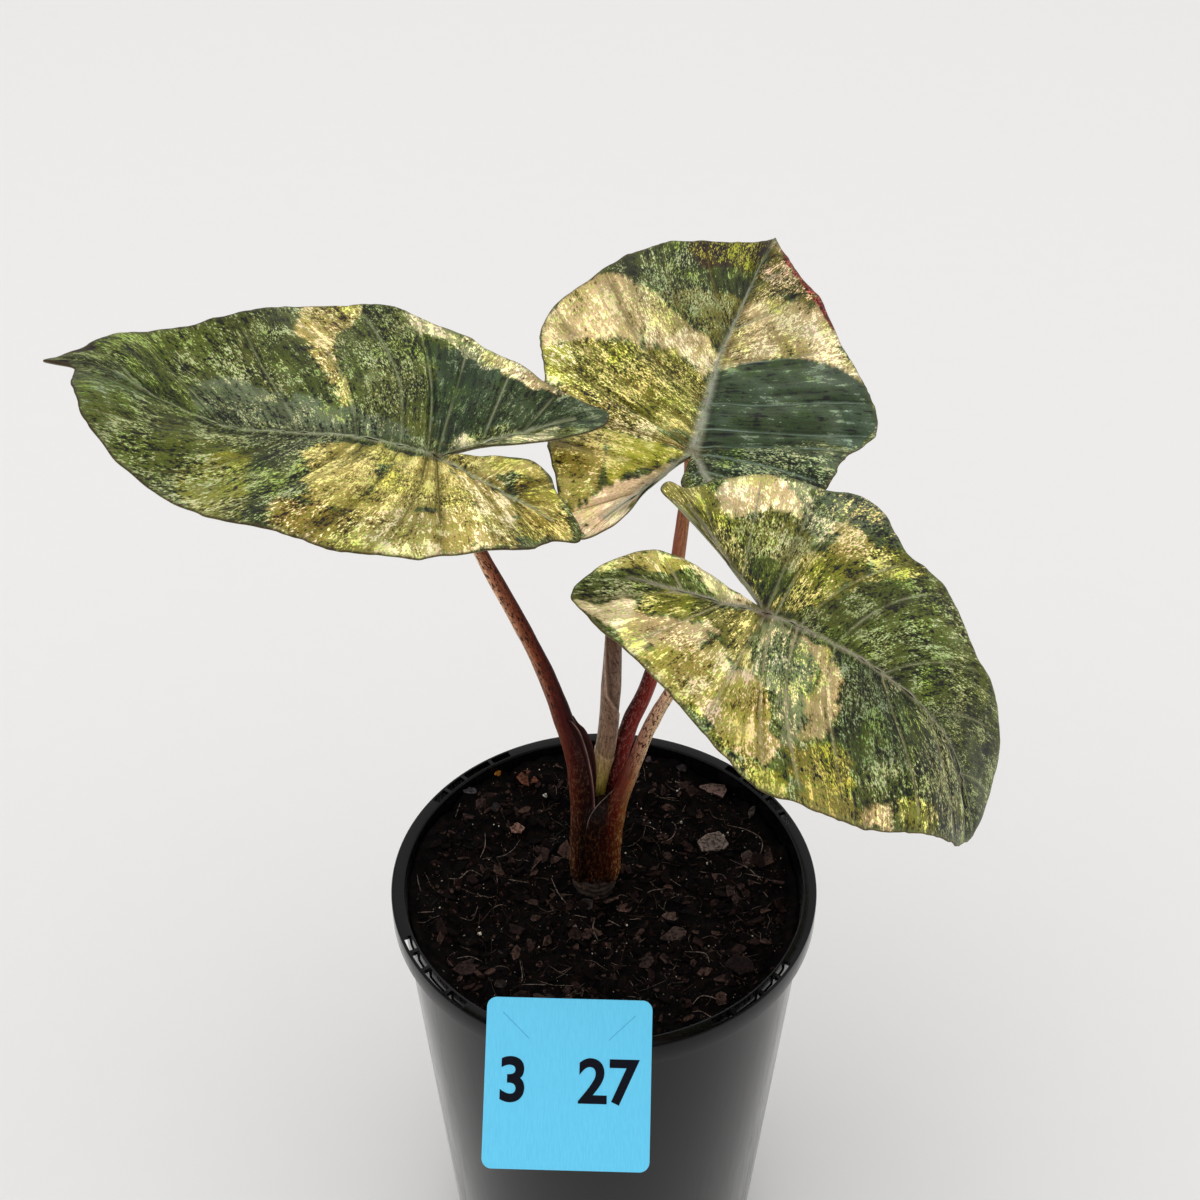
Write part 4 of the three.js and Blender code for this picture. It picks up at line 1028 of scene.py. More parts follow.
def leafWay(leaf):
    points, ahead, length = evenWay(leaf["midrib"], blade["waySteps"])
    side = np.cross((0, 0, 1), ahead[0])
    side = turnAbout(side / np.linalg.norm(side), ahead[0], np.radians(leaf["roll"]))
    sides = []
    for step, heading in enumerate(ahead):
        side = side - heading * side.dot(heading)
        side = side / np.linalg.norm(side)
        sides.append(turnAbout(side, heading, np.radians(leaf["twist"] * step / blade["waySteps"])))
    sides = np.array(sides)
    return {"points": points, "ahead": ahead, "sides": sides, "normals": np.cross(ahead, sides), "length": length}


# Height over the midrib, as in the part: a shallow valley, drooping halves, waves and folded lobes
def leafHeight(leaf, s, t):
    droops = np.where(t > 0, leaf["droop"][0], leaf["droop"][1])
    valley = leaf["fold"] * (np.hypot(t, 2) - 2) - droops * t * t / 50
    waveHeight, waveCount, wavePhase = leaf["wave"]
    reach = np.minimum(np.hypot(s, t), 70) / blade["waveReach"]
    swing = np.sin(waveCount * np.arctan2(t, s) + wavePhase)
    ripple = waveHeight * swing * reach * reach * (t * t / (t * t + 150))
    angle = math.radians(leaf["lobeAngle"])
    fromRib = s * math.sin(angle) - np.abs(t) * math.cos(angle)
    return valley + ripple + leaf["lobeFold"] * (np.hypot(fromRib, 2) - 2) * smoothStep(-s / 25)


def leafPoints(leaf, way, s, t, lift=0.0):
    place = np.clip(s / way["length"], 0, 1) * blade["waySteps"]
    low = np.minimum(np.floor(place).astype(int), blade["waySteps"] - 1)
    share = (place - low)[..., None]
    point, ahead, side, normal = (way[key][low] * (1 - share) + way[key][low + 1] * share
                                  for key in ("points", "ahead", "sides", "normals"))
    beyond = np.where(s < 0, s, np.maximum(0, s - way["length"]))
    right = leaf["lobeDrop"][1] + (leaf["lobeDrop"][0] - leaf["lobeDrop"][1]) * smoothStep((t + 8) / 16)
    drop = np.where(s < 0, right * (s / 50) ** 2 * 10, 0)
    rise = leafHeight(leaf, s, t) - drop + lift
    return point + ahead * beyond[..., None] + side * t[..., None] + normal * rise[..., None]


def leafNormals(leaf, way, s, t):
    alongWay = leafPoints(leaf, way, s + 0.5, t) - leafPoints(leaf, way, s - 0.5, t)
    acrossWay = leafPoints(leaf, way, s, t + 0.5) - leafPoints(leaf, way, s, t - 0.5)
    normal = np.cross(alongWay, acrossWay)
    return normal / np.linalg.norm(normal, axis=-1)[..., None]


# Rows from the ribs to the outline: out along the lobe's rib, back along it, then along the midrib. Each row also
# tells its place between two side veins.
def halfRows(leaf, half, length):
    outline = np.array([leaf["notch"], *half["outline"], (length, 0)], float)
    count = len(outline) - 1
    keys = [0, half["lobe"] / count, half["shoulder"] / count, 1]
    lobeTip = outline[half["lobe"]]
    shares, stages, between = [], [], []
    lobe = (blade["lobeVeins"], blade["rowsPerLobeVein"])
    for stage, (veins, rows) in enumerate((lobe, lobe, (blade["lateralVeins"], blade["rowsPerVein"]))):
        for k in range(min(stage, 1), veins * rows + 1):
            inside = (k % rows) / rows
            eased = 0.45 * inside + 0.55 * (1 - math.cos(math.pi * inside)) / 2
            shares.append((k // rows + eased) / veins)
            stages.append(stage)
            between.append(eased)
    shares, stages, between = np.array(shares), np.array(stages), np.array(between)
    starts = np.array(keys)[stages]
    spans = np.diff(keys)[stages]
    edges = curveAt(outline, starts + spans * shares, True)
    outward = np.where(stages == 0, shares, 1 - shares) * blade["lobeRibReach"]
    roots = np.where((stages == 2)[:, None],
                     np.column_stack([length * shares ** blade["veinSweep"], np.zeros(len(shares))]),
                     lobeTip * outward[:, None])
    return roots, edges, shares, stages, between, lobeTip


def distanceToLine(s, t, line):
    best = np.full(s.shape, 1e9)
    for (s0, t0), (s1, t1) in zip(line, line[1:]):
        ds, dt = s1 - s0, t1 - t0
        share = np.clip(((s - s0) * ds + (t - t0) * dt) / (ds * ds + dt * dt + 1e-9), 0, 1)
        best = np.minimum(best, np.hypot(s - s0 - ds * share, t - t0 - dt * share))
    return best


# Below 0 inside the polygon, and the distance from its edge
def polygonDistance(s, t, corners):
    best = distanceToLine(s, t, [*corners, corners[0]])
    inside = np.zeros(s.shape, bool)
    for (s0, t0), (s1, t1) in zip(corners, [*corners[1:], corners[0]]):
        if t0 != t1:
            inside ^= ((t0 > t) != (t1 > t)) & (s < (s1 - s0) * (t - t0) / (t1 - t0) + s0)
    return np.where(inside, -best, best)


def bell(distance, width):
    return np.exp(-(distance / width) ** 2)


# The dark, middle and light tone of each point, and how its flecks lean, how busy and how pale they are
def paintLeaf(name, side, s, t, edgeAway, ribAway, veinAway, veinStrength, creases, seed):
    leaf = leaves[name]
    # the patches' edges wander and are ragged
    warpS, warpT = 1.6 * flatNoise(s, t, 11, seed), 1.6 * flatNoise(s, t, 11, seed + 2)
    ragged = layeredNoise(s, t, seed, *blade["ragged"])
    ragged = ragged * (1 + 0.7 * flatNoise(s, t, 14, seed + 14))
    shades = [np.broadcast_to(linear(tones[tone]), (*s.shape, 3)).copy() for tone in ("fern", "moss", "silver")]
    calm = np.full(s.shape, 1.0)
    for patch, dark, middle, light, corners in patches[(name, side)]:
        away = polygonDistance(s + warpS, t + warpT, corners)
        mask = smoothStep(0.5 - (away + ragged) / 0.7)[..., None]
        calm += (blade["calm"].get(patch, 1.0) - calm) * mask[..., 0]
        for shade, tone in zip(shades, (dark, middle, light)):
            shade += (np.array(linear(tones[tone])) - shade) * mask
    # clouds of a lighter or a darker middle tone, and of lime, rust or grey-blue
    cloud = layeredNoise(s, t, seed, *blade["clouds"])
    lift = np.clip(cloud, 0, 1)[..., None] * blade["cloudLift"]
    sink = np.clip(-cloud, 0, 1)[..., None] * blade["cloudSink"]
    shades[1] = shades[1] * (1 - lift - sink) + shades[2] * lift + shades[0] * sink
    hue = layeredNoise(s, t, seed, *blade["hues"])[..., None]
    cool = flatNoise(s, t, 15, seed + 17)[..., None]
    tint = np.clip(hue, 0, 1) * blade["lime"] + np.clip(-hue, 0, 1) * blade["rust"]
    cold = np.clip(cool, 0, 1) * blade["greyBlue"]
    pale = smoothStep((shades[1][..., 1] - 0.22) / 0.25)
    busy = np.clip(0.9 + 0.75 * flatNoise(s, t, 8, seed + 13) + 0.35 * flatNoise(s, t, 3, seed + 18), 0.5, 1.25)
    busy = busy * (1 - 0.3 * pale) * calm
    lean = 0.045 * cloud + 0.03 * pale - 0.004
    # painted light on the creases' ridges and painted shade in their folds, following the relief
    paintedCreaseShade = 1 + blade["creaseShading"] * creases[..., None]
    for shade, (gain, palesBy), share in zip(shades, blade["gains"], blade["tintShares"]):
        shade *= (gain + palesBy * pale[..., None]) * (1 + share * tint) * (1 + cold) * paintedCreaseShade
    # veins, ribs with their shadows, and the rim of the leaf; near is 1 where the stalk joins
    near = np.clip(1 - np.hypot(s, t) / blade["nearReach"], 0, 1)
    broken = np.clip(0.8 + flatNoise(s, t, 6, seed + 21), 0.45, 1)
    veins = (bell(veinAway, blade["veinWidth"]) * (0.72 + 0.28 * near) * broken * veinStrength)[..., None]
    off, width, depth = blade["veinShadow"]
    shadow = (bell(veinAway - off, width) * depth * veinStrength)[..., None]
    # the rib's pale tone is also stronger on the creases' ridges: painted light
    rib = (bell(ribAway, 0.4 + leaf["ribWidth"] * near) * (0.75 + 0.2 * near) * (1 + 0.3 * creases))[..., None]
    off, width, depth = blade["ribShadow"]
    ribShadow = (bell(ribAway - off - leaf["ribWidth"] * near, width) * depth)[..., None]
    band = (smoothStep(1.1 - edgeAway / blade["band"]) * blade["bandDepth"])[..., None]
    margin = (smoothStep(1 - edgeAway / blade["marginWidth"]) * blade["marginDepth"])[..., None]
    attach = bell(np.hypot(s, t), blade["attachReach"])[..., None] * 0.85
    for i, shade in enumerate(shades):
        shade *= (1 - shadow) * (1 - ribShadow)
        for tone, mask in ((leaf["veins"][side < 0], veins), (leaf["rib"], rib),
                           (leaf["band"], band), (leaf["margin"], margin), (leaf["attach"], attach)):
            shade += (np.array(linear(tone)) - shade) * mask
        shades[i] = underSheen(shade, blade["sheen"])
    return shades, np.stack([lean, busy, pale], -1)


def buildLeaf(name, seed):
    leaf = leaves[name]
    way = leafWay(leaf)
    length = way["length"]
    x = np.linspace(0, 1, blade["rings"] + 1)
    x = 0.35 * x + 0.65 * (1 - np.cos(np.pi * x)) / 2
    points, faces, tonesOf, grains, flecks = [], [], [[], [], []], [], []
    start = 0
    for side, half in zip((1, -1), leaf["halves"]):
        roots, edges, shares, stages, between, lobeTip = halfRows(leaf, half, length)
        step = edges - roots
        rowLength = np.linalg.norm(step, axis=1)
        ramp = np.where(stages == 2, np.sin(np.pi * np.clip(shares, 0, 1)) ** 0.7, 0)
        s = roots[:, :1] + step[:, :1] * x
        t = roots[:, 1:] + step[:, 1:] * x
        s = s - (blade["bow"] * rowLength * ramp)[:, None] * np.sin(np.pi * x)[None, :]
        edgeWay, rootWay = walkedLength(edges), walkedLength(roots)
        across = (0.4 * rootWay + 0.6 * edgeWay)[:, None] * np.ones(len(x))  # the grain runs along the rows
        alongRow = rowLength[:, None] * x
        edgeAway = rowLength[:, None] * (1 - x)
        nearEdge = smoothStep(x / 0.9)
        fray = layeredNoise(edgeWay, edgeWay * 0, seed, *blade["fray"])
        blend = np.where(shares * (stages == 2) > 0.97, 0, 1) * (edgeWay > 6)
        unit = step / np.maximum(rowLength, 1e-3)[:, None]
        s = s + (fray * blend * unit[:, 0])[:, None] * nearEdge ** 6
        t = t + (fray * blend * unit[:, 1])[:, None] * nearEdge ** 6
        midAway = distanceToLine(s, t, [(0, 0), (length, 0)])
        lobeAway = distanceToLine(s, t, [(0, 0), tuple(lobeTip * 0.8)])
        veinAway = np.full(s.shape, 1e9)
        onVein = (between == 0) & ~((shares == 0) | (shares == 1)) | ((shares == 1) & (stages == 1))
        for row in np.flatnonzero(onVein):
            veinAway = np.minimum(veinAway, distanceToLine(s, t, list(zip(s[row, ::3], t[row, ::3]))))
        slim = 1 - 0.8 * np.clip(np.hypot(s, t) / length, 0, 1)
        fade = smoothStep(edgeAway / blade["veinFade"])
        lift = blade["quilt"] * np.sin(np.pi * between)[:, None] * np.sin(np.pi * x)
        creases = np.clip(flatNoise(across, alongRow / 9, 3.4, seed + 19)
                          + 0.6 * flatNoise(across, alongRow / 8, 1.5, seed + 20), -1, 1)
        relief = (blade["crest"] * bell(midAway, 1.0) * slim
                  - blade["trough"] * bell(midAway - 2.2, 1.4) * slim * (midAway > 0.6)
                  - blade["groove"] * bell(veinAway, 0.8) * fade - blade["groove"] * bell(lobeAway, 0.9) * slim
                  + layeredNoise(s, t, seed, *blade["surface"]) * fade + blade["crease"] * fade * creases)
        beneath = (blade["ribDepth"] * bell(midAway, 1.5) * slim + blade["lobeRibDepth"] * bell(lobeAway, 1.2) * slim
                   + blade["veinDepth"] * bell(veinAway, 0.7) * fade)
        fromRim = np.clip((edgeAway + 0.06) / blade["roundRim"], 0, 1)
        thick = blade["thickness"] / 2 * np.sqrt(np.clip(1 - (1 - fromRim) ** 2, 0, 1))
        normals = leafNormals(leaf, way, s, t)
        middle = leafPoints(leaf, way, s, t, lift)
        top = middle + normals * (thick + relief * (thick > 0.2))[..., None]
        low = middle - normals * (thick + beneath)[..., None]
        shades, fleck = paintLeaf(name, side, s, t, edgeAway, np.minimum(midAway, lobeAway * 1.4), veinAway, fade,
                                  creases, seed)
        rows, rings = s.shape
        points += [top.reshape(-1, 3), low.reshape(-1, 3)]
        under = underSheen(linear(leaf["under"]))
        for bag, shade in zip(tonesOf, shades):
            bag += [shade.reshape(-1, 3), (shade * 0.45 + under * 0.55).reshape(-1, 3)]
        grain = np.stack([across / 10, alongRow / 10, np.full(s.shape, seed * 1.7 + side)], -1).reshape(-1, 3)
        grains += [grain, grain]
        flecks += [fleck.reshape(-1, 3)] * 2
        # faces of the upper side, the lower side and the rim
        count = rows * rings
        index = start + np.arange(count).reshape(rows, rings)
        a, b, c, d = (v.ravel() for v in (index[:-1, :-1], index[1:, :-1], index[1:, 1:], index[:-1, 1:]))
        faces += np.stack([a, b, c, d], 1).tolist()
        faces += (np.stack([d, c, b, a], 1) + count).tolist()
        a, b = index[:-1, -1], index[1:, -1]
        faces += np.stack([a, b, b + count, a + count], 1).tolist()
        start += 2 * count
    colours = {key: np.concatenate(bag) for key, bag in zip(("shadeDark", "shadeMid", "shadeLight"), tonesOf)}
    inBox = np.clip(np.concatenate(points), np.array(cadBox[0]) / mm, np.array(cadBox[1]) / mm)
    piece = meshPiece(name + "Leaf", inBox, faces, colours,
                      {"grain": np.concatenate(grains), "fleck": np.concatenate(flecks)}, merge=0.01)
    piece.data.shade_smooth()
    keepPiece(piece, leafMaterial(), "leaf", "blade_" + name)
    print(name, "leaf ready")


@cache
def leafMaterial():
    material, tree, shader = newMaterial("speckledLeaf")
    place = objectPlace(tree)
    grain = pointAttribute(tree, "grain", "Vector")
    fleck = addNode(tree, "SeparateXYZ")
    tree.links.new(pointAttribute(tree, "fleck", "Vector"), fleck.inputs[0])
    lean, busy, pale = fleck.outputs
    clumps = noiseNode(tree, grain, 1, 3, 0.6, (2.8, 1.9, 1))
    streaks = noiseNode(tree, grain, 1, 3, 0.7, (9.5, 5.2, 1))
    dashes = noiseNode(tree, grain, 1, 2, 0.6, (23, 10.5, 1))
    wrinkles = noiseNode(tree, grain, 1, 2, 0.5, (7, 0.9, 1))
    lines = noiseNode(tree, grain, 1, 2, 0.5, (34, 1.5, 1))
    fine = noiseNode(tree, place, 4200, 2, 0.6)
    coarse = sumNode(tree, (streaks, 0.62), (dashes, 0.28))
    crisp = sumNode(tree, (streaks, 0.42), (dashes, 0.48))
    large = sumNode(tree, (mathNode(tree, "SUBTRACT", clumps, 0.5), 0.24),
                    (mathNode(tree, "SUBTRACT", wrinkles, 0.5), 0.22))
    colour = pointAttribute(tree, "shadeDark")
    for first, second, low, high, shade in ((coarse, crisp, -0.075, -0.02, "shadeMid"),
                                            (crisp, coarse, 0.03, 0.07, "shadeLight")):
        mixed = sumNode(tree, (first, mathNode(tree, "SUBTRACT", 1.0, pale)), (second, pale))
        swing = mathNode(tree, "MULTIPLY", mathNode(tree, "SUBTRACT", mixed, 0.45), busy)
        tone = mathNode(tree, "ADD", mathNode(tree, "ADD", swing, lean), large)
        colour = mixNode(tree, stepNode(tree, tone, low, high), colour, pointAttribute(tree, shade))
    colour = timesNode(tree, colour, stepNode(tree, dashes, 0.36, 0.62, 0.84, 1.14))
    colour = timesNode(tree, colour, stepNode(tree, lines, 0.35, 0.65, 0.9, 1.1))
    hues = noiseNode(tree, grain, 3, 3, 0.65, (4.4, 2.3, 1))  # flecks of a greener and of a rosier hue
    hue = mixNode(tree, stepNode(tree, hues, 0.45, 0.64), (1.07, 0.97, 1.08), (0.83, 1.06, 0.66))
    colour = timesNode(tree, colour, hue)
    colour = timesNode(tree, colour, stepNode(tree, fine, 0.3, 0.7, 0.9, 1.08))
    cells = noiseNode(tree, grain, 1, 3, 0.6, (26, 14, 1))
    height = sumNode(tree, (cells, 0.7), (fine, 0.3))
    dressShader(tree, shader, colour, stepNode(tree, streaks, 0.3, 0.7, 0.42, 0.52), 0.24, (height, 0.35, 0.0003))
    return material


for leafNumber, leafName in enumerate(leaves):
    buildLeaf(leafName, 20 + 10 * leafNumber)

# Stalks: widths are (share of the way, mm), tones are (height in mm, then colours from left to right, partly the
# stalk's own colour and partly painted light and shade on its sides), and spots are (height in mm, colour, amount
# all over, more on the outer side)

stalks = {
    "left": {
        "path": [(-7.4, 4.5, 178.5), (-7.2, 4.5, 193.4), (-7.3, 5, 209.1), (-8.1, 5.2, 222.4),
                 (-9.6, 5.5, 233.1), (-12.2, 6, 243.8), (-14.7, 6.5, 253.4), (-19.2, 7.5, 267.3),
                 (-24.6, 8.8, 280.5), (-30.2, 10, 293.4), (-35.7, 11.2, 306), (-41.6, 12.2, 322),
                 (-47.3, 13, 340.3)],
        "halfLeft": [(0, 4.2), (0.2, 3.5), (0.4, 3.1), (0.6, 2.4), (1, 1.7)],
        "halfRight": [(0, 4.2), (0.2, 3.9), (0.27, 4.6), (0.35, 4.0), (0.42, 3), (0.6, 2.4), (1, 1.7)],
        "halfDepth": [(0, 4.9), (0.25, 3.6), (0.42, 2.9), (0.6, 2.4), (1, 1.7)],
        "tones": [(176, "#260d08", "#160504", "#0c0302"), (200, "#260c08", "#160504", "#0e0303"),
                  (232, "#441f17", "#280d0a", "#1b0709"), (252, "#643d33", "#3a1612", "#250e10"),
                  (272, "#94705a", "#5a3026", "#361718"), (300, "#b28f70", "#764a3a", "#432321"),
                  (340, "#c6aa8c", "#94725a", "#56342c")],
        "spots": [(176, "#94704a", 0.05, 0.75), (214, "#8a6444", 0.1, 0.6), (238, "#4a2a1c", 0.45, 0.3),
                  (252, "#2a100c", 0.9, 0), (340, "#2a100c", 0.95, 0)], "spotSide": -1,
    },
    "back": {
        "path": [(2.7, 10.9, 178.5), (2.3, 10.9, 198.9), (3.2, 11.4, 212.2), (5.1, 12.5, 223.3),
                 (8.5, 15, 236.3), (13.2, 18.5, 246.8), (18.1, 24, 262.8), (21.3, 30, 278), (23.3, 36, 292.9),
                 (25, 41, 304.5), (27, 47, 318)],
        "halfLeft": [(0, 2.4), (0.2, 2.8), (0.35, 3.2), (0.45, 2.7), (0.7, 2.2), (1, 1.8)],
        "halfRight": [(0, 2.6), (0.3, 2.7), (0.45, 2.6), (0.7, 2.2), (1, 1.8)],
        "halfDepth": [(0, 2.4), (0.3, 2.6), (0.45, 2.6), (0.7, 2.2), (1, 1.8)],
        "tones": [(176, "#140404", "#240c0a", "#2c120c"), (215, "#160606", "#3a1413", "#4a2220"),
                  (240, "#1f0a09", "#521d1e", "#6a3030"), (268, "#3c1614", "#632825", "#7a3e36"),
                  (290, "#64382e", "#825242", "#8f664e"), (318, "#7e5240", "#90684e", "#9e7755")],
        "spots": [(176, "#8a5450", 0.15, 0), (215, "#a3685f", 0.4, 0), (262, "#a87068", 0.4, 0),
                  (318, "#5a2c20", 0.6, 0)], "spotSide": 1,
    },
    "right": {
        "path": [(1.1, 4, 178.5), (2, 3.5, 196.8), (4.5, 3, 213.4), (9.1, 2, 230), (13.5, 0.5, 246.4),
                 (18.4, -1.5, 260.7), (25.3, -4.5, 277.8), (34, -8, 292.4), (46, -10, 302)],
        "halfLeft": [(0, 4.2), (0.2, 3.3), (0.4, 2.2), (0.7, 1.9), (1, 1.7)],
        "halfRight": [(0, 4.3), (0.2, 3.6), (0.4, 2.4), (0.7, 1.9), (1, 1.7)],
        "halfDepth": [(0, 4.3), (0.2, 3.3), (0.4, 2.4), (0.7, 1.9), (1, 1.7)],
        "tones": [(176, "#140403", "#200906", "#3a1c10"), (196, "#180504", "#280c08", "#482616"),
                  (212, "#240a09", "#3a140f", "#5e3a26"), (226, "#401a1a", "#553028", "#8c6c50"),
                  (240, "#5f3a34", "#7c5e4c", "#ae9478"), (262, "#8c6c5a", "#a2866c", "#b8a080"),
                  (302, "#a2866a", "#ae9072", "#b49a7a")],
        "spots": [(176, "#b08854", 0.06, 0.85), (206, "#b08a5c", 0.1, 0.8), (222, "#5a3520", 0.5, 0.5),
                  (236, "#3c170e", 0.95, 0), (302, "#3c170e", 0.95, 0)], "spotSide": 1,
    },
}

newLeaf = {
    "path": [(-3.4, 11.2, 178.5), (-3.2, 11, 199.4), (-2.1, 10.4, 213), (-0.2, 10, 226.6), (1.1, 10, 237.5),
             (2, 10, 250.3), (2.6, 9.7, 265.4), (2.9, 9.2, 279.4), (3, 8.6, 291.5), (3, 8.2, 299.4)],
    "radius": [(0, 2.4), (0.2, 2.8), (0.32, 3.1), (0.45, 3.3), (0.65, 3.4), (0.85, 2.5), (0.95, 1.5), (1, 0.35)],
    "lap": 0.15, "cuff": 228.5,
    # where the free edge of the roll lies: height, then degrees round from the right-hand side
    "seam": [(176, -60), (222, -14), (229, 12), (246, 26), (255, 112), (272, 150), (299, 205)],
    # colours from left to right: partly the roll's own colour, partly painted light and shade on its sides
    "tones": [(176, "#5a5018", "#4a3e12", "#352b0e"), (205, "#83783a", "#786c34", "#574b20"),
              (216, "#95864a", "#82723e", "#64532e"), (226, "#96835a", "#80694a", "#6f5c44"),
              (232, "#7c6856", "#624c40", "#6e5c50"), (262, "#6a564c", "#503e38", "#695850"),
              (282, "#4a342c", "#3c2924", "#503c36"), (300, "#6a5c30", "#5c522c", "#484020")],
    "spots": [(176, "#4a3a16", 0.2, 0), (222, "#4a3826", 0.4, 0), (240, "#33211a", 0.5, 0), (300, "#33211a", 0.6, 0)],
    "spotSide": 1, "foot": 176.2, "free": "#c9a58e",
}

sheathFoot = {
    "top": 211, "rise": 6, "depth": [(0, 4.7), (0.6, 4.3), (0.82, 3.4), (0.94, 2.2), (1, 0.8)],
    # colours from left to right: partly the foot's own colour, partly painted light on its right side
    "tones": [(176, "#1e0805", "#1c0704", "#2a0e07"), (195, "#1c0705", "#1a0604", "#280c07"),
              (211, "#140403", "#120403", "#1e0705")],
    "spots": [(176, "#8a5a36", 0.25, 0), (211, "#6a4028", 0.15, 0)], "spotSide": 1,
}

# Ridges are (height, count); the channel lies along the side that faces the new leaf; the head flares under the leaf
stalkForm = {
    "ridges": ((0.018, 14), (0.012, 23)), "channel": 0.16, "channelWidth": 0.55, "flare": 0.5, "pinch": 0.13,
    "bumps": 0.06, "sheen": 0.008, "toneGain": 2.1,
}

# Loose edges of the left stalk's sheath: each wing's free edge is (x, z) at one y
wings = {
    "sheathWing": {
        "y": 7, "tone": "#2c0d0c", "edgeTone": "#5a3632", "seed": 31,
        "edge": [(-9.6, 246.5), (-8.0, 243.3), (-6.0, 240.7), (-4.2, 236), (-3.1, 230.8), (-2.5, 223.8),
                 (-2.6, 214.8), (-3.6, 206.6), (-4.9, 199.7), (-5.6, 192)],
    },
    "sheathFold": {
        "y": 2.6, "tone": "#240a0a", "edgeTone": "#8d6b64", "seed": 32,
        "edge": [(-9.9, 248), (-7.6, 243.8), (-5.9, 237.7), (-4.7, 231.2), (-3.8, 224.6), (-3.2, 217.9),
                 (-3.0, 211), (-3.4, 205)],
    },
}

forkFibre = {
    "way": [(-5.6, -0.6, 204.0), (-4.8, -1, 208.9), (-3.2, -1, 213), (-1, -1, 216.6), (0.9, -0.6, 218.8),
            (3.1, 0.2, 221)],
    "radius": 0.13, "steps": 24, "sides": 8, "colour": "#7c6a62",
}

corm = {
    "centre": (-3.2, 6.2), "top": 178.6, "bottom": 160, "radius": 7.1,
    "rings": 60, "sides": 96, "crown": 1.4, "squash": 0.96,
    "profile": [(0, 0.86), (0.3, 0.95), (0.7, 1), (0.82, 1.02), (0.9, 0.98), (0.97, 0.9), (1, 0.6)],
    "flakes": 20, "seed": 5, "skin": "#2f2017", "light": "#4d392b", "blotch": "#6a4a36",
    "flakeTones": ["#3a261b", "#553a2a", "#6d4c37", "#2b1a12", "#8a6448"],
}


def readOff(pairs, place):
    return np.interp(place, *zip(*pairs))


def colourAt(heights, stations, colours):
    return np.stack([np.interp(heights, stations, [colour[c] for colour in colours]) for c in range(3)], -1)


# A colour for each point: by height, and from left to right by the cosine of its angle. The left and right
# colours are partly the part's own colour and partly painted light and shade on its sides
def toneWithSideShading(table, heights, acrossShare):
    stations = [row[0] for row in table]
    columns = [colourAt(heights, stations, [underSheen(linear(row[k]), stalkForm["sheen"]) for row in table])
               for k in (1, 2, 3)]
    left = np.clip(-acrossShare, 0, 1)[..., None]
    right = np.clip(acrossShare, 0, 1)[..., None]
    return stalkForm["toneGain"] * (columns[0] * left + columns[2] * right + columns[1] * (1 - left - right))


def stalkFrames(path, steps):
    centres, ahead, length = evenWay(path, steps)
    side = np.array([1.0, 0, 0]) - ahead * ahead[:, :1]
    side /= np.linalg.norm(side, axis=1)[:, None]
    return centres, ahead, side, np.cross(side, ahead), length


# Points round each centre of a way: x is to the side and y to the front
def aroundWay(centres, side, front, x, y):
    return centres[:, None] + side[:, None] * x[..., None] + front[:, None] * y[..., None]


# Darker just over the corm
def footShade(points):
    return 0.45 + 0.55 * smoothStep((points[..., 2:] - corm["top"] + 1) / 7)


@cache
def stalkMaterial():
    material, tree, shader = newMaterial("spottedStalk")
    place = objectPlace(tree)
    grain = pointAttribute(tree, "grain", "Vector")
    streaks = noiseNode(tree, grain, 1, 4, 0.65, (16, 1.6, 1))
    marks = noiseNode(tree, grain, 1, 3, 0.7, (13, 4.5, 1))
    dots = noiseNode(tree, grain, 1, 1, 0.5, (26, 17, 1))
    fine = noiseNode(tree, place, 3000, 3, 0.6)
    tone = pointAttribute(tree, "tone")
    spot = pointAttribute(tree, "spot")
    amount = pointAttribute(tree, "amount", "Fac")
    colour = timesNode(tree, tone, stepNode(tree, streaks, 0.35, 0.7, 1.25, 0.6))
    for speckle, low, high in ((marks, 0.54, 0.57), (dots, 0.61, 0.65)):
        share = mathNode(tree, "MULTIPLY", stepNode(tree, speckle, low, high), amount)
        colour = mixNode(tree, share, colour, spot)
    colour = timesNode(tree, colour, stepNode(tree, fine, 0.3, 0.7, 0.88, 1.1))
    height = mathNode(tree, "ADD", streaks, mathNode(tree, "MULTIPLY", fine, 0.2))
    dressShader(tree, shader, colour, stepNode(tree, streaks, 0.3, 0.7, 0.38, 0.5), 0.09, (height, 0.25, 0.0003))
    return material


# Colour and amount of the speckles at each point
def spotsAt(part, heights, across):
    stations, colours, everywhere, outside = zip(*part["spots"])
    outer = np.clip(part["spotSide"] * across, 0, 1) ** 1.5
    amount = np.interp(heights, stations, everywhere) + outer * np.interp(heights, stations, outside)
    return colourAt(heights, stations, [linear(colour) for colour in colours]), amount


def stalkMesh(name, points, tones, spots, around, length, seed, slotName, *nodes, degrees=60):
    rings, sides = points.shape[:2]
    spotColour, amounts = spots
    along = np.linspace(0, length, rings)[:, None] * np.ones((1, sides))
    grain = np.stack([around / 10, along / 10, np.full(along.shape, float(seed))], -1)
    colours = {"tone": tones.reshape(-1, 3), "amount": np.repeat(amounts.reshape(-1, 1), 3, axis=1),
               "spot": spotColour.reshape(-1, 3)}
    piece = meshPiece(name, points.reshape(-1, 3), ringFaces(rings, sides), colours,
                      {"grain": grain.reshape(-1, 3)})
    piece.data.shade_smooth()
    smoothByAngle(piece, degrees)
    keepPiece(piece, stalkMaterial(), slotName, *nodes)


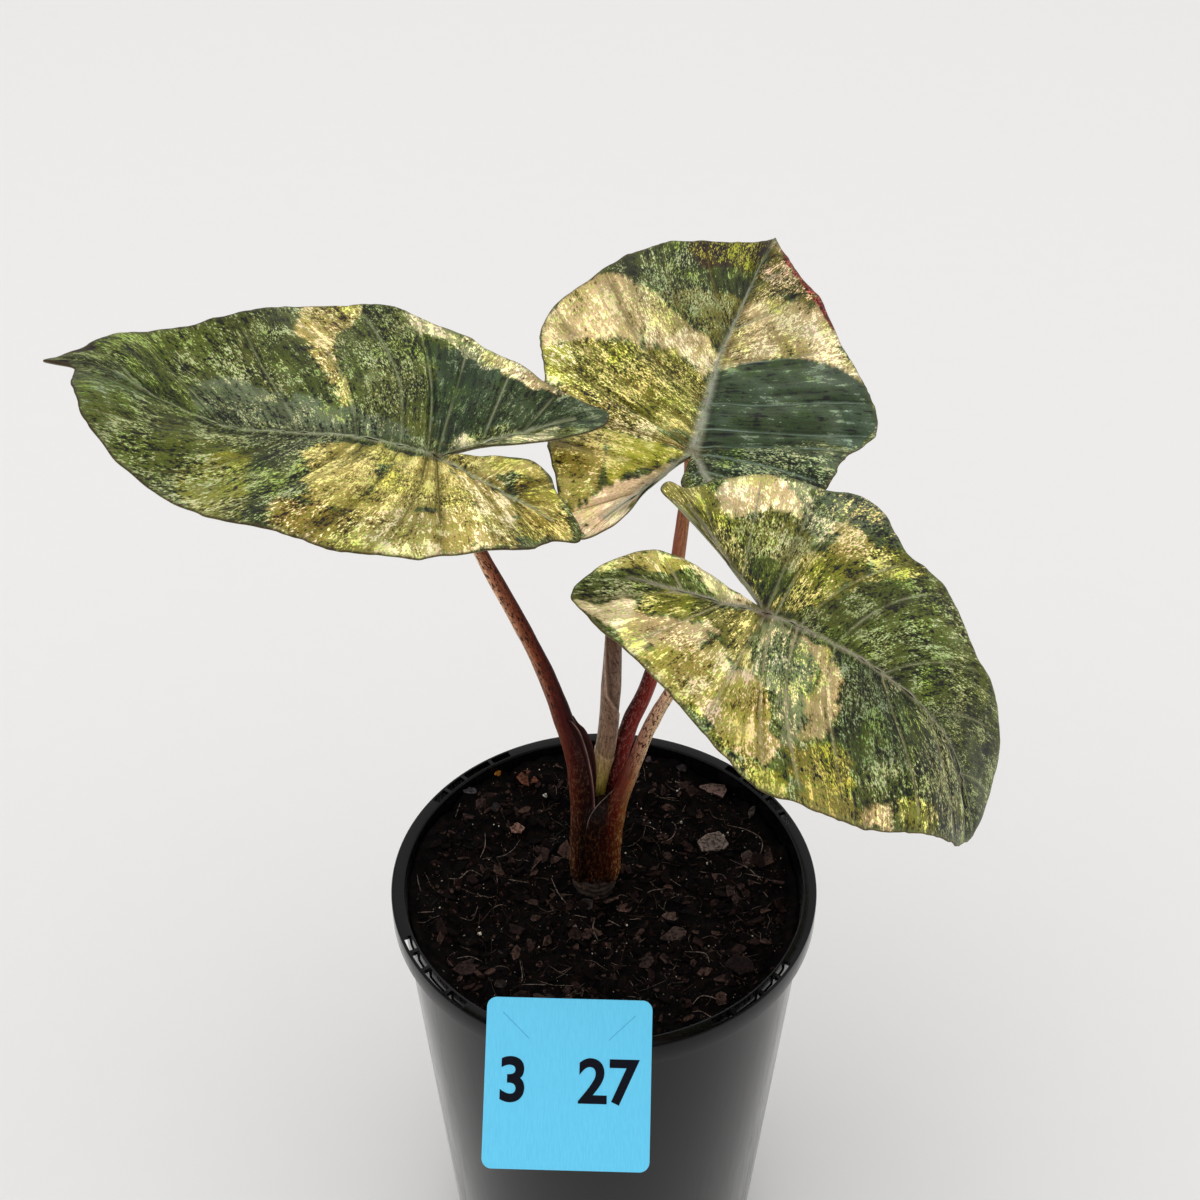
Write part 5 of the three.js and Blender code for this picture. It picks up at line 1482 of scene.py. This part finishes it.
def buildStalk(name, seed, rings=200, sides=56):
    stalk = stalks[name]
    leaf = leaves[name]
    way = leafWay(leaf)
    zero = np.zeros(1)
    headNormal = leafNormals(leaf, way, zero, zero)[0]
    head = leafPoints(leaf, way, zero, zero)[0] - headNormal * (blade["thickness"] / 2 + 0.7)
    path = list(stalk["path"])
    path[0] = (path[0][0], path[0][1], corm["top"] - 1)
    centres, ahead, side, front, length = stalkFrames(path, rings)
    u = np.linspace(0, 1, rings + 1)
    angle = np.arange(sides) * 2 * np.pi / sides
    across, depth = np.cos(angle), np.sin(angle)
    left, right = readOff(stalk["halfLeft"], u), readOff(stalk["halfRight"], u)
    flare = (1 + stalkForm["flare"] * smoothStep((u - 0.93) / 0.07) ** 2
             - stalkForm["pinch"] * smoothStep((0.03 - u) / 0.03))
    wide = np.where(across[None, :] > 0, right[:, None], left[:, None]) * flare[:, None]
    deep = (readOff(stalk["halfDepth"], u) * flare)[:, None]
    (broad, few), (slight, many) = stalkForm["ridges"]
    ribs = 1 + broad * np.sin(angle * few + seed)[None, :] + slight * np.sin(angle * many + 2)[None, :]
    hollow = bell(angle - 1.5 * np.pi, stalkForm["channelWidth"])
    channel = 1 - stalkForm["channel"] * hollow[None, :] * (1 - u)[:, None]
    points = aroundWay(centres, side, front, wide * across * ribs * channel, deep * depth * ribs * channel)
    # the last rings lean into the leaf's underside
    for ring, weight in ((rings, 1.0), (rings - 1, 0.55), (rings - 2, 0.2)):
        slide = ((head - points[ring]) @ headNormal) / (ahead[ring] @ headNormal)
        points[ring] += ahead[ring] * (slide * weight)[:, None]
    points += (points - centres[:, None]) * (stalkForm["bumps"] * softNoise(points, 5, seed)[..., None])
    acrossAll = np.broadcast_to(across, points.shape[:2])
    tones = toneWithSideShading(stalk["tones"], points[..., 2], acrossAll) * footShade(points)
    around = angle[None, :] * (wide + deep) / 2
    stalkMesh(name + "Stalk", points, tones, spotsAt(stalk, points[..., 2], acrossAll), around, length, seed,
              "stalk", "petiole_" + name)


def buildNewLeaf(rings=200, sides=84):
    path = list(newLeaf["path"])
    path[0] = (path[0][0], path[0][1], newLeaf["foot"])
    centres, ahead, side, front, length = stalkFrames(path, rings)
    u = np.linspace(0, 1, rings + 1)
    turn = np.arange(sides) / sides
    # the last few points lead straight in under the free edge, so the step is a crisp lip
    reach = readOff(newLeaf["radius"], u)[:, None] * (1 - newLeaf["lap"] * np.minimum(turn / 0.965, 1))[None, :]
    angle = 2 * np.pi * turn[None, :] + np.radians(readOff(newLeaf["seam"], centres[:, 2]))[:, None]
    # the outer sheath ends in a thin slanting rim
    overCuff = centres[:, 2:] - newLeaf["cuff"] + 1.8 * np.cos(angle)
    reach = reach * (1 + 0.07 * smoothStep(0.5 - overCuff / 0.9) * smoothStep(1 + overCuff / 9))
    lip = 1 + 0.05 * bell(turn - 0.012, 0.02)[None, :]
    points = aroundWay(centres, side, front, reach * lip * np.cos(angle), reach * lip * np.sin(angle))
    tones = toneWithSideShading(newLeaf["tones"], points[..., 2], np.cos(angle))
    # the free edge and the cuff's rim are pale, with a shadow beside each
    pale = bell(turn - 0.01, 0.022)[None, :, None] + (bell(overCuff + 0.35, 0.4) * 0.6)[..., None]
    tones = tones + (np.array(linear(newLeaf["free"])) - tones) * pale * 0.75
    shadow = bell(turn - 0.955, 0.03)[None, :, None]
    tones = tones * (1 - 0.5 * shadow) * (1 - 0.35 * bell(overCuff - 0.9, 0.7))[..., None]
    around = turn[None, :] * 2 * np.pi * reach
    spots = spotsAt(newLeaf, points[..., 2], np.cos(angle))
    stalkMesh("rolledLeaf", points, tones, spots, around, length, 7, "leaf", "new_leaf")


# A thin skin from the stalk to its free edge: both are lists of points from the top down
def sheathWing(name, rootLine, edgeLine, tone, edgeTone, seed, thick=0.32, steps=70, widths=10):
    root = curveAt(rootLine, np.linspace(0, 1, steps + 1))
    edge = curveAt(edgeLine, np.linspace(0, 1, steps + 1))
    x = np.linspace(0, 1, widths + 1)
    middle = root[:, None] * (1 - x)[None, :, None] + edge[:, None] * x[None, :, None]
    downWay = np.gradient(middle, axis=0)
    outWay = np.gradient(middle, axis=1)
    normal = np.cross(downWay, outWay)
    normal /= np.linalg.norm(normal, axis=-1)[..., None]
    curl = 0.35 * np.sin(np.pi * x)[None, :, None]
    middle = middle + normal * curl
    half = thick / 2 * np.sqrt(np.clip(1 - x ** 6, 0.02, 1))[None, :, None]
    top, low = middle + normal * half, middle - normal * half
    points = np.concatenate([top, low[:, ::-1]], axis=1)
    share = np.concatenate([x, x[::-1]])
    tint = smoothStep((share - 0.88) / 0.1)[None, :, None]
    tones = np.array(linear(tone)) * (1 - tint) + np.array(linear(edgeTone)) * tint
    tones = np.broadcast_to(tones, points.shape).copy()
    around = np.broadcast_to(share * 4, points.shape[:2])
    stalkMesh(name, points, tones, (tones * 0.6, np.zeros(points.shape[:2])), around, walkedLength(edge)[-1], seed,
              "stalk", degrees=50)


def buildSheaths():
    path = np.array(stalks["left"]["path"], float)
    for name, wing in wings.items():
        edgeLine = [(x, wing["y"], z) for x, z in wing["edge"]]
        rootLine = []
        for x, y, z in edgeLine:
            centreX, centreY = (np.interp(z, path[:, 2], path[:, k]) for k in (0, 1))
            rootLine.append((min(centreX + 1.2, x - 0.4), centreY + (y - centreY) * 0.35, z - 0.6))
        sheathWing(name, rootLine, edgeLine, wing["tone"], wing["edgeTone"], wing["seed"])
    fibres = newBag()
    shape = threadShape(forkFibre["way"], forkFibre["radius"], forkFibre["steps"], forkFibre["sides"])
    addShape(fibres, *shape, linear(forkFibre["colour"]))
    bagPiece("forkFibre", fibres, cormSkin(), "corm_skin")


# The foot where the two front stalks clasp each other, up to the fork between them
def buildSheathFoot(rings=70, sides=72):
    foot = sheathFoot
    path = {name: np.array(stalks[name]["path"], float) for name in ("left", "right")}
    z = np.linspace(corm["top"] - 0.9, foot["top"], rings + 1)
    at = {name: np.stack([np.interp(z, way[:, 2], way[:, k]) for k in (0, 1)], -1) for name, way in path.items()}
    centre = (at["left"] + at["right"]) / 2
    apart = np.linalg.norm(at["right"] - at["left"], axis=1)
    share = (z - z[0]) / (z[-1] - z[0])
    wide = apart / 2 + 1.2
    deep = readOff(foot["depth"], share)
    angle = np.arange(sides) * 2 * np.pi / sides
    folds = 1 + 0.012 * np.sin(angle * 17)[None, :]
    points = np.stack([centre[:, :1] + wide[:, None] * np.cos(angle) * folds,
                       centre[:, 1:] - 0.1 + deep[:, None] * np.sin(angle) * folds,
                       z[:, None] + foot["rise"] * (share[:, None] * np.cos(angle)[None, :]) ** 2], -1)
    across = np.broadcast_to(np.cos(angle), points.shape[:2])
    tones = toneWithSideShading(foot["tones"], points[..., 2], across) * footShade(points)
    around = angle[None, :] * 5 * np.ones((rings + 1, 1))
    stalkMesh("sheathFoot", points, tones, spotsAt(foot, points[..., 2], across), around, z[-1] - z[0], 9, "stalk")


# The corm: a rough brown foot ringed by scars, with torn old sheath flakes standing round the stalks
def buildCorm():
    draws = random.Random(corm["seed"])
    cx, cy = corm["centre"]
    top, bottom, radius = corm["top"], corm["bottom"], corm["radius"]
    rings, sides = corm["rings"], corm["sides"]
    z = np.linspace(bottom, top + corm["crown"], rings + 1)
    angle = np.arange(sides) * 2 * np.pi / sides
    profile = readOff(corm["profile"], (z - bottom) / (top + corm["crown"] - bottom))
    scars = 0.035 * np.sin(z * 2.6 + 0.4)
    reach = radius * (profile + scars)[:, None] * np.ones((1, sides))
    points = np.stack([cx + reach * np.cos(angle), cy + reach * np.sin(angle) * corm["squash"],
                       np.broadcast_to(z[:, None], reach.shape)], -1)
    points[..., :2] += (points[..., :2] - (cx, cy)) * (0.05 * softNoise(points, 3, 41)
                                                       + 0.03 * softNoise(points, 1.1, 42))[..., None]
    shade = 0.5 + 0.5 * softNoise(points, 1.6, 43)
    dark, light = np.array(linear(corm["skin"])), np.array(linear(corm["light"]))
    tones = dark * 0.55 + (light - dark * 0.55) * shade[..., None] ** 2
    piece = meshPiece("cormFoot", points.reshape(-1, 3), ringFaces(rings + 1, sides),
                      {"tone": tones.reshape(-1, 3)})
    piece.data.shade_smooth()
    keepPiece(piece, cormSkin(), "corm_skin", "corm")
    flakes = newBag()
    for i in range(corm["flakes"]):
        turn = 2 * math.pi * i / corm["flakes"] + draws.uniform(-0.15, 0.15)
        height, width = draws.uniform(2.4, 6.5), draws.uniform(1.4, 2.6)
        points, faces = flakeSheet(draws, height, width)
        out = radius * draws.uniform(0.93, 1.02)
        lean = draws.uniform(-0.16, 0.12)
        foot = (cx + out * math.cos(turn), cy + out * math.sin(turn) * corm["squash"], top - 3.2)
        matrix = (Matrix.Translation(foot)
                  @ Matrix.Rotation(turn - math.pi / 2, 4, "Z") @ Matrix.Rotation(lean, 4, "X"))
        tone = linear(draws.choice(corm["flakeTones"]))
        addShape(flakes, [tuple(matrix @ Vector(p)) for p in points], faces, tone)
    bagPiece("oldSheathFlakes", flakes, cormSkin(), "corm_skin", 40)


# A thin upright flake with a torn top, curved round the stalks
def flakeSheet(draws, height, width, rows=7, columns=5, thick=0.28):
    front, back = [], []
    tear = [draws.uniform(0.55, 1) for _ in range(columns + 1)]
    for r in range(rows + 1):
        for c in range(columns + 1):
            across = (c / columns - 0.5) * width * (1 - 0.35 * r / rows)
            rise = height * r / rows * tear[c]
            bow = 0.35 * (1 - (2 * c / columns - 1) ** 2) + 0.25 * math.sin(r * 1.1)
            front.append((across, bow + thick / 2, rise))
            back.append((across, bow - thick / 2, rise))
    faces, count, wide = [], len(front), columns + 1
    for r in range(rows):
        for c in range(columns):
            a, b = r * wide + c, r * wide + c + 1
            faces += [(a, b, b + wide, a + wide), (a + count, a + wide + count, b + wide + count, b + count)]
    rim = (list(range(wide)) + [r * wide + columns for r in range(1, rows + 1)]
           + [rows * wide + c for c in range(columns - 1, -1, -1)] + [r * wide for r in range(rows - 1, 0, -1)])
    for a, b in zip(rim, rim[1:] + rim[:1]):
        faces.append((a, a + count, b + count, b))
    return front + back, faces


@cache
def cormSkin():
    material, tree, shader = newMaterial("cormSkinMaterial")
    place = objectPlace(tree)
    fibres = noiseNode(tree, place, 1, 4, 0.7, (1400, 1400, 160))
    blotch = noiseNode(tree, place, 500, 3, 0.6)
    tone = pointAttribute(tree, "tone")
    colour = mixNode(tree, stepNode(tree, fibres, 0.35, 0.65), mixNode(tree, 0.6, tone, (0, 0, 0)), tone)
    colour = mixNode(tree, stepNode(tree, blotch, 0.55, 0.75, 0, 0.3), colour, linear(corm["blotch"]))
    dressShader(tree, shader, colour, stepNode(tree, fibres, 0.3, 0.7, 0.55, 0.8), 0.35, (fibres, 0.5, 0.0003))
    return material


for stalkNumber, stalkName in enumerate(stalks):
    buildStalk(stalkName, 3 + stalkNumber)
buildNewLeaf()
buildSheaths()
buildSheathFoot()
buildCorm()
print("stalks, rolled leaf and corm ready")

# Tag: a square plate on a clip over the pot's rim

tag = {
    "side": 50, "thickness": 1.2, "corner": 3, "centre": (-11, -78.5, 175.5), "lean": 39, "turn": -1.5,
    "clipWidth": 12, "clipWall": 2, "clipReach": 9, "words": "3   27", "wordHeight": 12.6,
    "scored": ((5, 4.5), (13, 12)), "scoredWidth": 0.22,  # from the plate's corner inwards
    # the groove colours are a darker blue: painted shade of the scored grooves
    "colour": "#66d6ff", "brushed": "#5cc9f4", "dust": "#9adcf6", "groove": ("#3f9fd0", "#58b4e2"),
    "ink": ("#04050e", "#1b2140"),
}


def tagPlace():
    return (Matrix.Translation(Vector(tag["centre"]) * mm) @ Matrix.Rotation(math.radians(tag["lean"]), 4, "X")
            @ Matrix.Rotation(math.radians(tag["turn"]), 4, "Z"))


def buildTag():
    deselectAll()
    half = tag["side"] / 2
    bpy.ops.mesh.primitive_cube_add(size=1)
    plate = bpy.context.active_object
    plate.name = "tagPlate"
    bpy.ops.object.mode_set(mode="EDIT")
    bpy.ops.mesh.select_all(action="SELECT")
    bpy.ops.transform.resize(value=(tag["side"] * mm, tag["side"] * mm, tag["thickness"] * mm))
    bpy.ops.transform.translate(value=(0, 0, -tag["thickness"] / 2 * mm))
    bpy.ops.object.mode_set(mode="OBJECT")
    shape = bmesh.new()
    shape.from_mesh(plate.data)
    upright = [e for e in shape.edges if abs(e.verts[0].co.z - e.verts[1].co.z) > 0.5 * tag["thickness"] * mm]
    bmesh.ops.bevel(shape, geom=upright, offset=tag["corner"] * mm, segments=10, affect="EDGES", profile=0.5)
    rims = [e for e in shape.edges if abs(e.verts[0].co.z - e.verts[1].co.z) < 1e-6]
    bmesh.ops.bevel(shape, geom=rims, offset=0.3 * mm, segments=3, affect="EDGES", profile=0.5)
    shape.to_mesh(plate.data)
    shape.free()
    plate.data.transform(tagPlace())
    smoothByAngle(plate, 30)
    material = tagPlastic()
    keepPiece(plate, material, "tag_plastic", "plant_tag")

    # faint scored lines in the two top corners: thin raised strips in a darker blue, painted shade standing in for the
    # grooves
    for sign in (-1, 1):
        start, end = (Vector((sign * (half - dx), half - dy, 0.02)) for dx, dy in tag["scored"])
        deselectAll()
        bpy.ops.mesh.primitive_cube_add(size=1)
        line = bpy.context.active_object
        line.name = "scoredLineLeft" if sign < 0 else "scoredLineRight"
        turn = math.atan2(end.y - start.y, end.x - start.x)
        middle = (start + end) / 2 * mm
        line.data.transform(tagPlace() @ Matrix.Translation(middle) @ Matrix.Rotation(turn, 4, "Z")
                            @ Matrix.Diagonal(((end - start).length * mm, tag["scoredWidth"] * mm, 0.06 * mm, 1)))
        keepPiece(line, scoredPlastic(), "tag_plastic")

    bpy.ops.object.text_add()
    words = bpy.context.active_object
    words.data.body = tag["words"]
    words.data.size = tag["wordHeight"] / 0.7 * mm
    words.data.align_x = words.data.align_y = "CENTER"
    words.data.extrude = 0.05 * mm
    words.data.offset = 0.42 * mm
    words.data.resolution_u = 8
    makeActive(words)
    bpy.ops.object.convert(target="MESH")
    words = bpy.context.active_object
    words.name = "tagDigits"
    words.data.transform(tagPlace() @ Matrix.Translation((0, 0.2 * mm, 0.06 * mm)))
    keepPiece(words, tagInk(), "tag_plastic")
    buildClip(material)
    print("tag ready")


# The clip: the block of the part with its slot over the rim, its edges softened
def buildClip(material):
    x, y, z = tag["centre"]
    slope = math.tan(math.radians(tag["lean"]))
    top = pot["height"]
    slotInside = wallRadius(top - tag["clipReach"]) - pot["wall"] - 0.3
    slotOutside, slotTop = pot["rimRadius"] + 0.3, top + 0.3
    inner, outer = -(slotInside - tag["clipWall"]) + 1.5, -(slotOutside + tag["clipWall"])

    def under(at):
        return z - tag["thickness"] * 0.5 + (at - y) * slope

    section = [(outer, top - tag["clipReach"]), (-slotOutside, top - tag["clipReach"]), (-slotOutside, slotTop),
               (-slotInside, slotTop), (-slotInside, top - tag["clipReach"] + 2),
               (inner, top - tag["clipReach"] + 3), (inner, under(inner)), (outer, under(outer))]
    count = len(section)
    points = [(x + side * tag["clipWidth"] / 2, a, b) for side in (-1, 1) for a, b in section]
    faces = [(i, (i + 1) % count, (i + 1) % count + count, i + count) for i in range(count)]
    faces += [tuple(range(count)), tuple(range(count, 2 * count))]
    clip = meshPiece("tagClip", points, faces)
    applyModifier(clip, "BEVEL", width=0.3 * mm, segments=2, limit_method="ANGLE")
    smoothByAngle(clip, 40)
    keepPiece(clip, material, "tag_plastic")


def tagPlastic():
    material, tree, shader = newMaterial("blueTagPlastic")
    place = objectPlace(tree)
    brushed = noiseNode(tree, place, 1, 3, 0.6, (2600, 260, 260))
    dust = noiseNode(tree, place, 900, 4, 0.7)
    colour = mixNode(tree, stepNode(tree, brushed, 0.35, 0.68, 0, 0.5), linear(tag["colour"]), linear(tag["brushed"]))
    colour = mixNode(tree, stepNode(tree, dust, 0.6, 0.78, 0, 0.3), colour, linear(tag["dust"]))
    rough = stepNode(tree, brushed, 0.3, 0.7, 0.38, 0.5)
    dressShader(tree, shader, colour, rough, bump=(brushed, 0.3, 0.0002))
    return material


@cache
def scoredPlastic():
    material, tree, shader = newMaterial("scoredPlastic")
    fine = noiseNode(tree, objectPlace(tree), 1500, 2)
    dressShader(tree, shader, mixNode(tree, stepNode(tree, fine, 0.3, 0.7), *map(linear, tag["groove"])), 0.5)
    return material


def tagInk():
    material, tree, shader = newMaterial("tagInk")
    specks = noiseNode(tree, objectPlace(tree), 3000, 2)
    colour = mixNode(tree, stepNode(tree, specks, 0.4, 0.7, 0, 0.3), *map(linear, tag["ink"]))
    dressShader(tree, shader, colour, stepNode(tree, specks, 0.3, 0.7, 0.4, 0.55), 0.1)
    return material


buildTag()
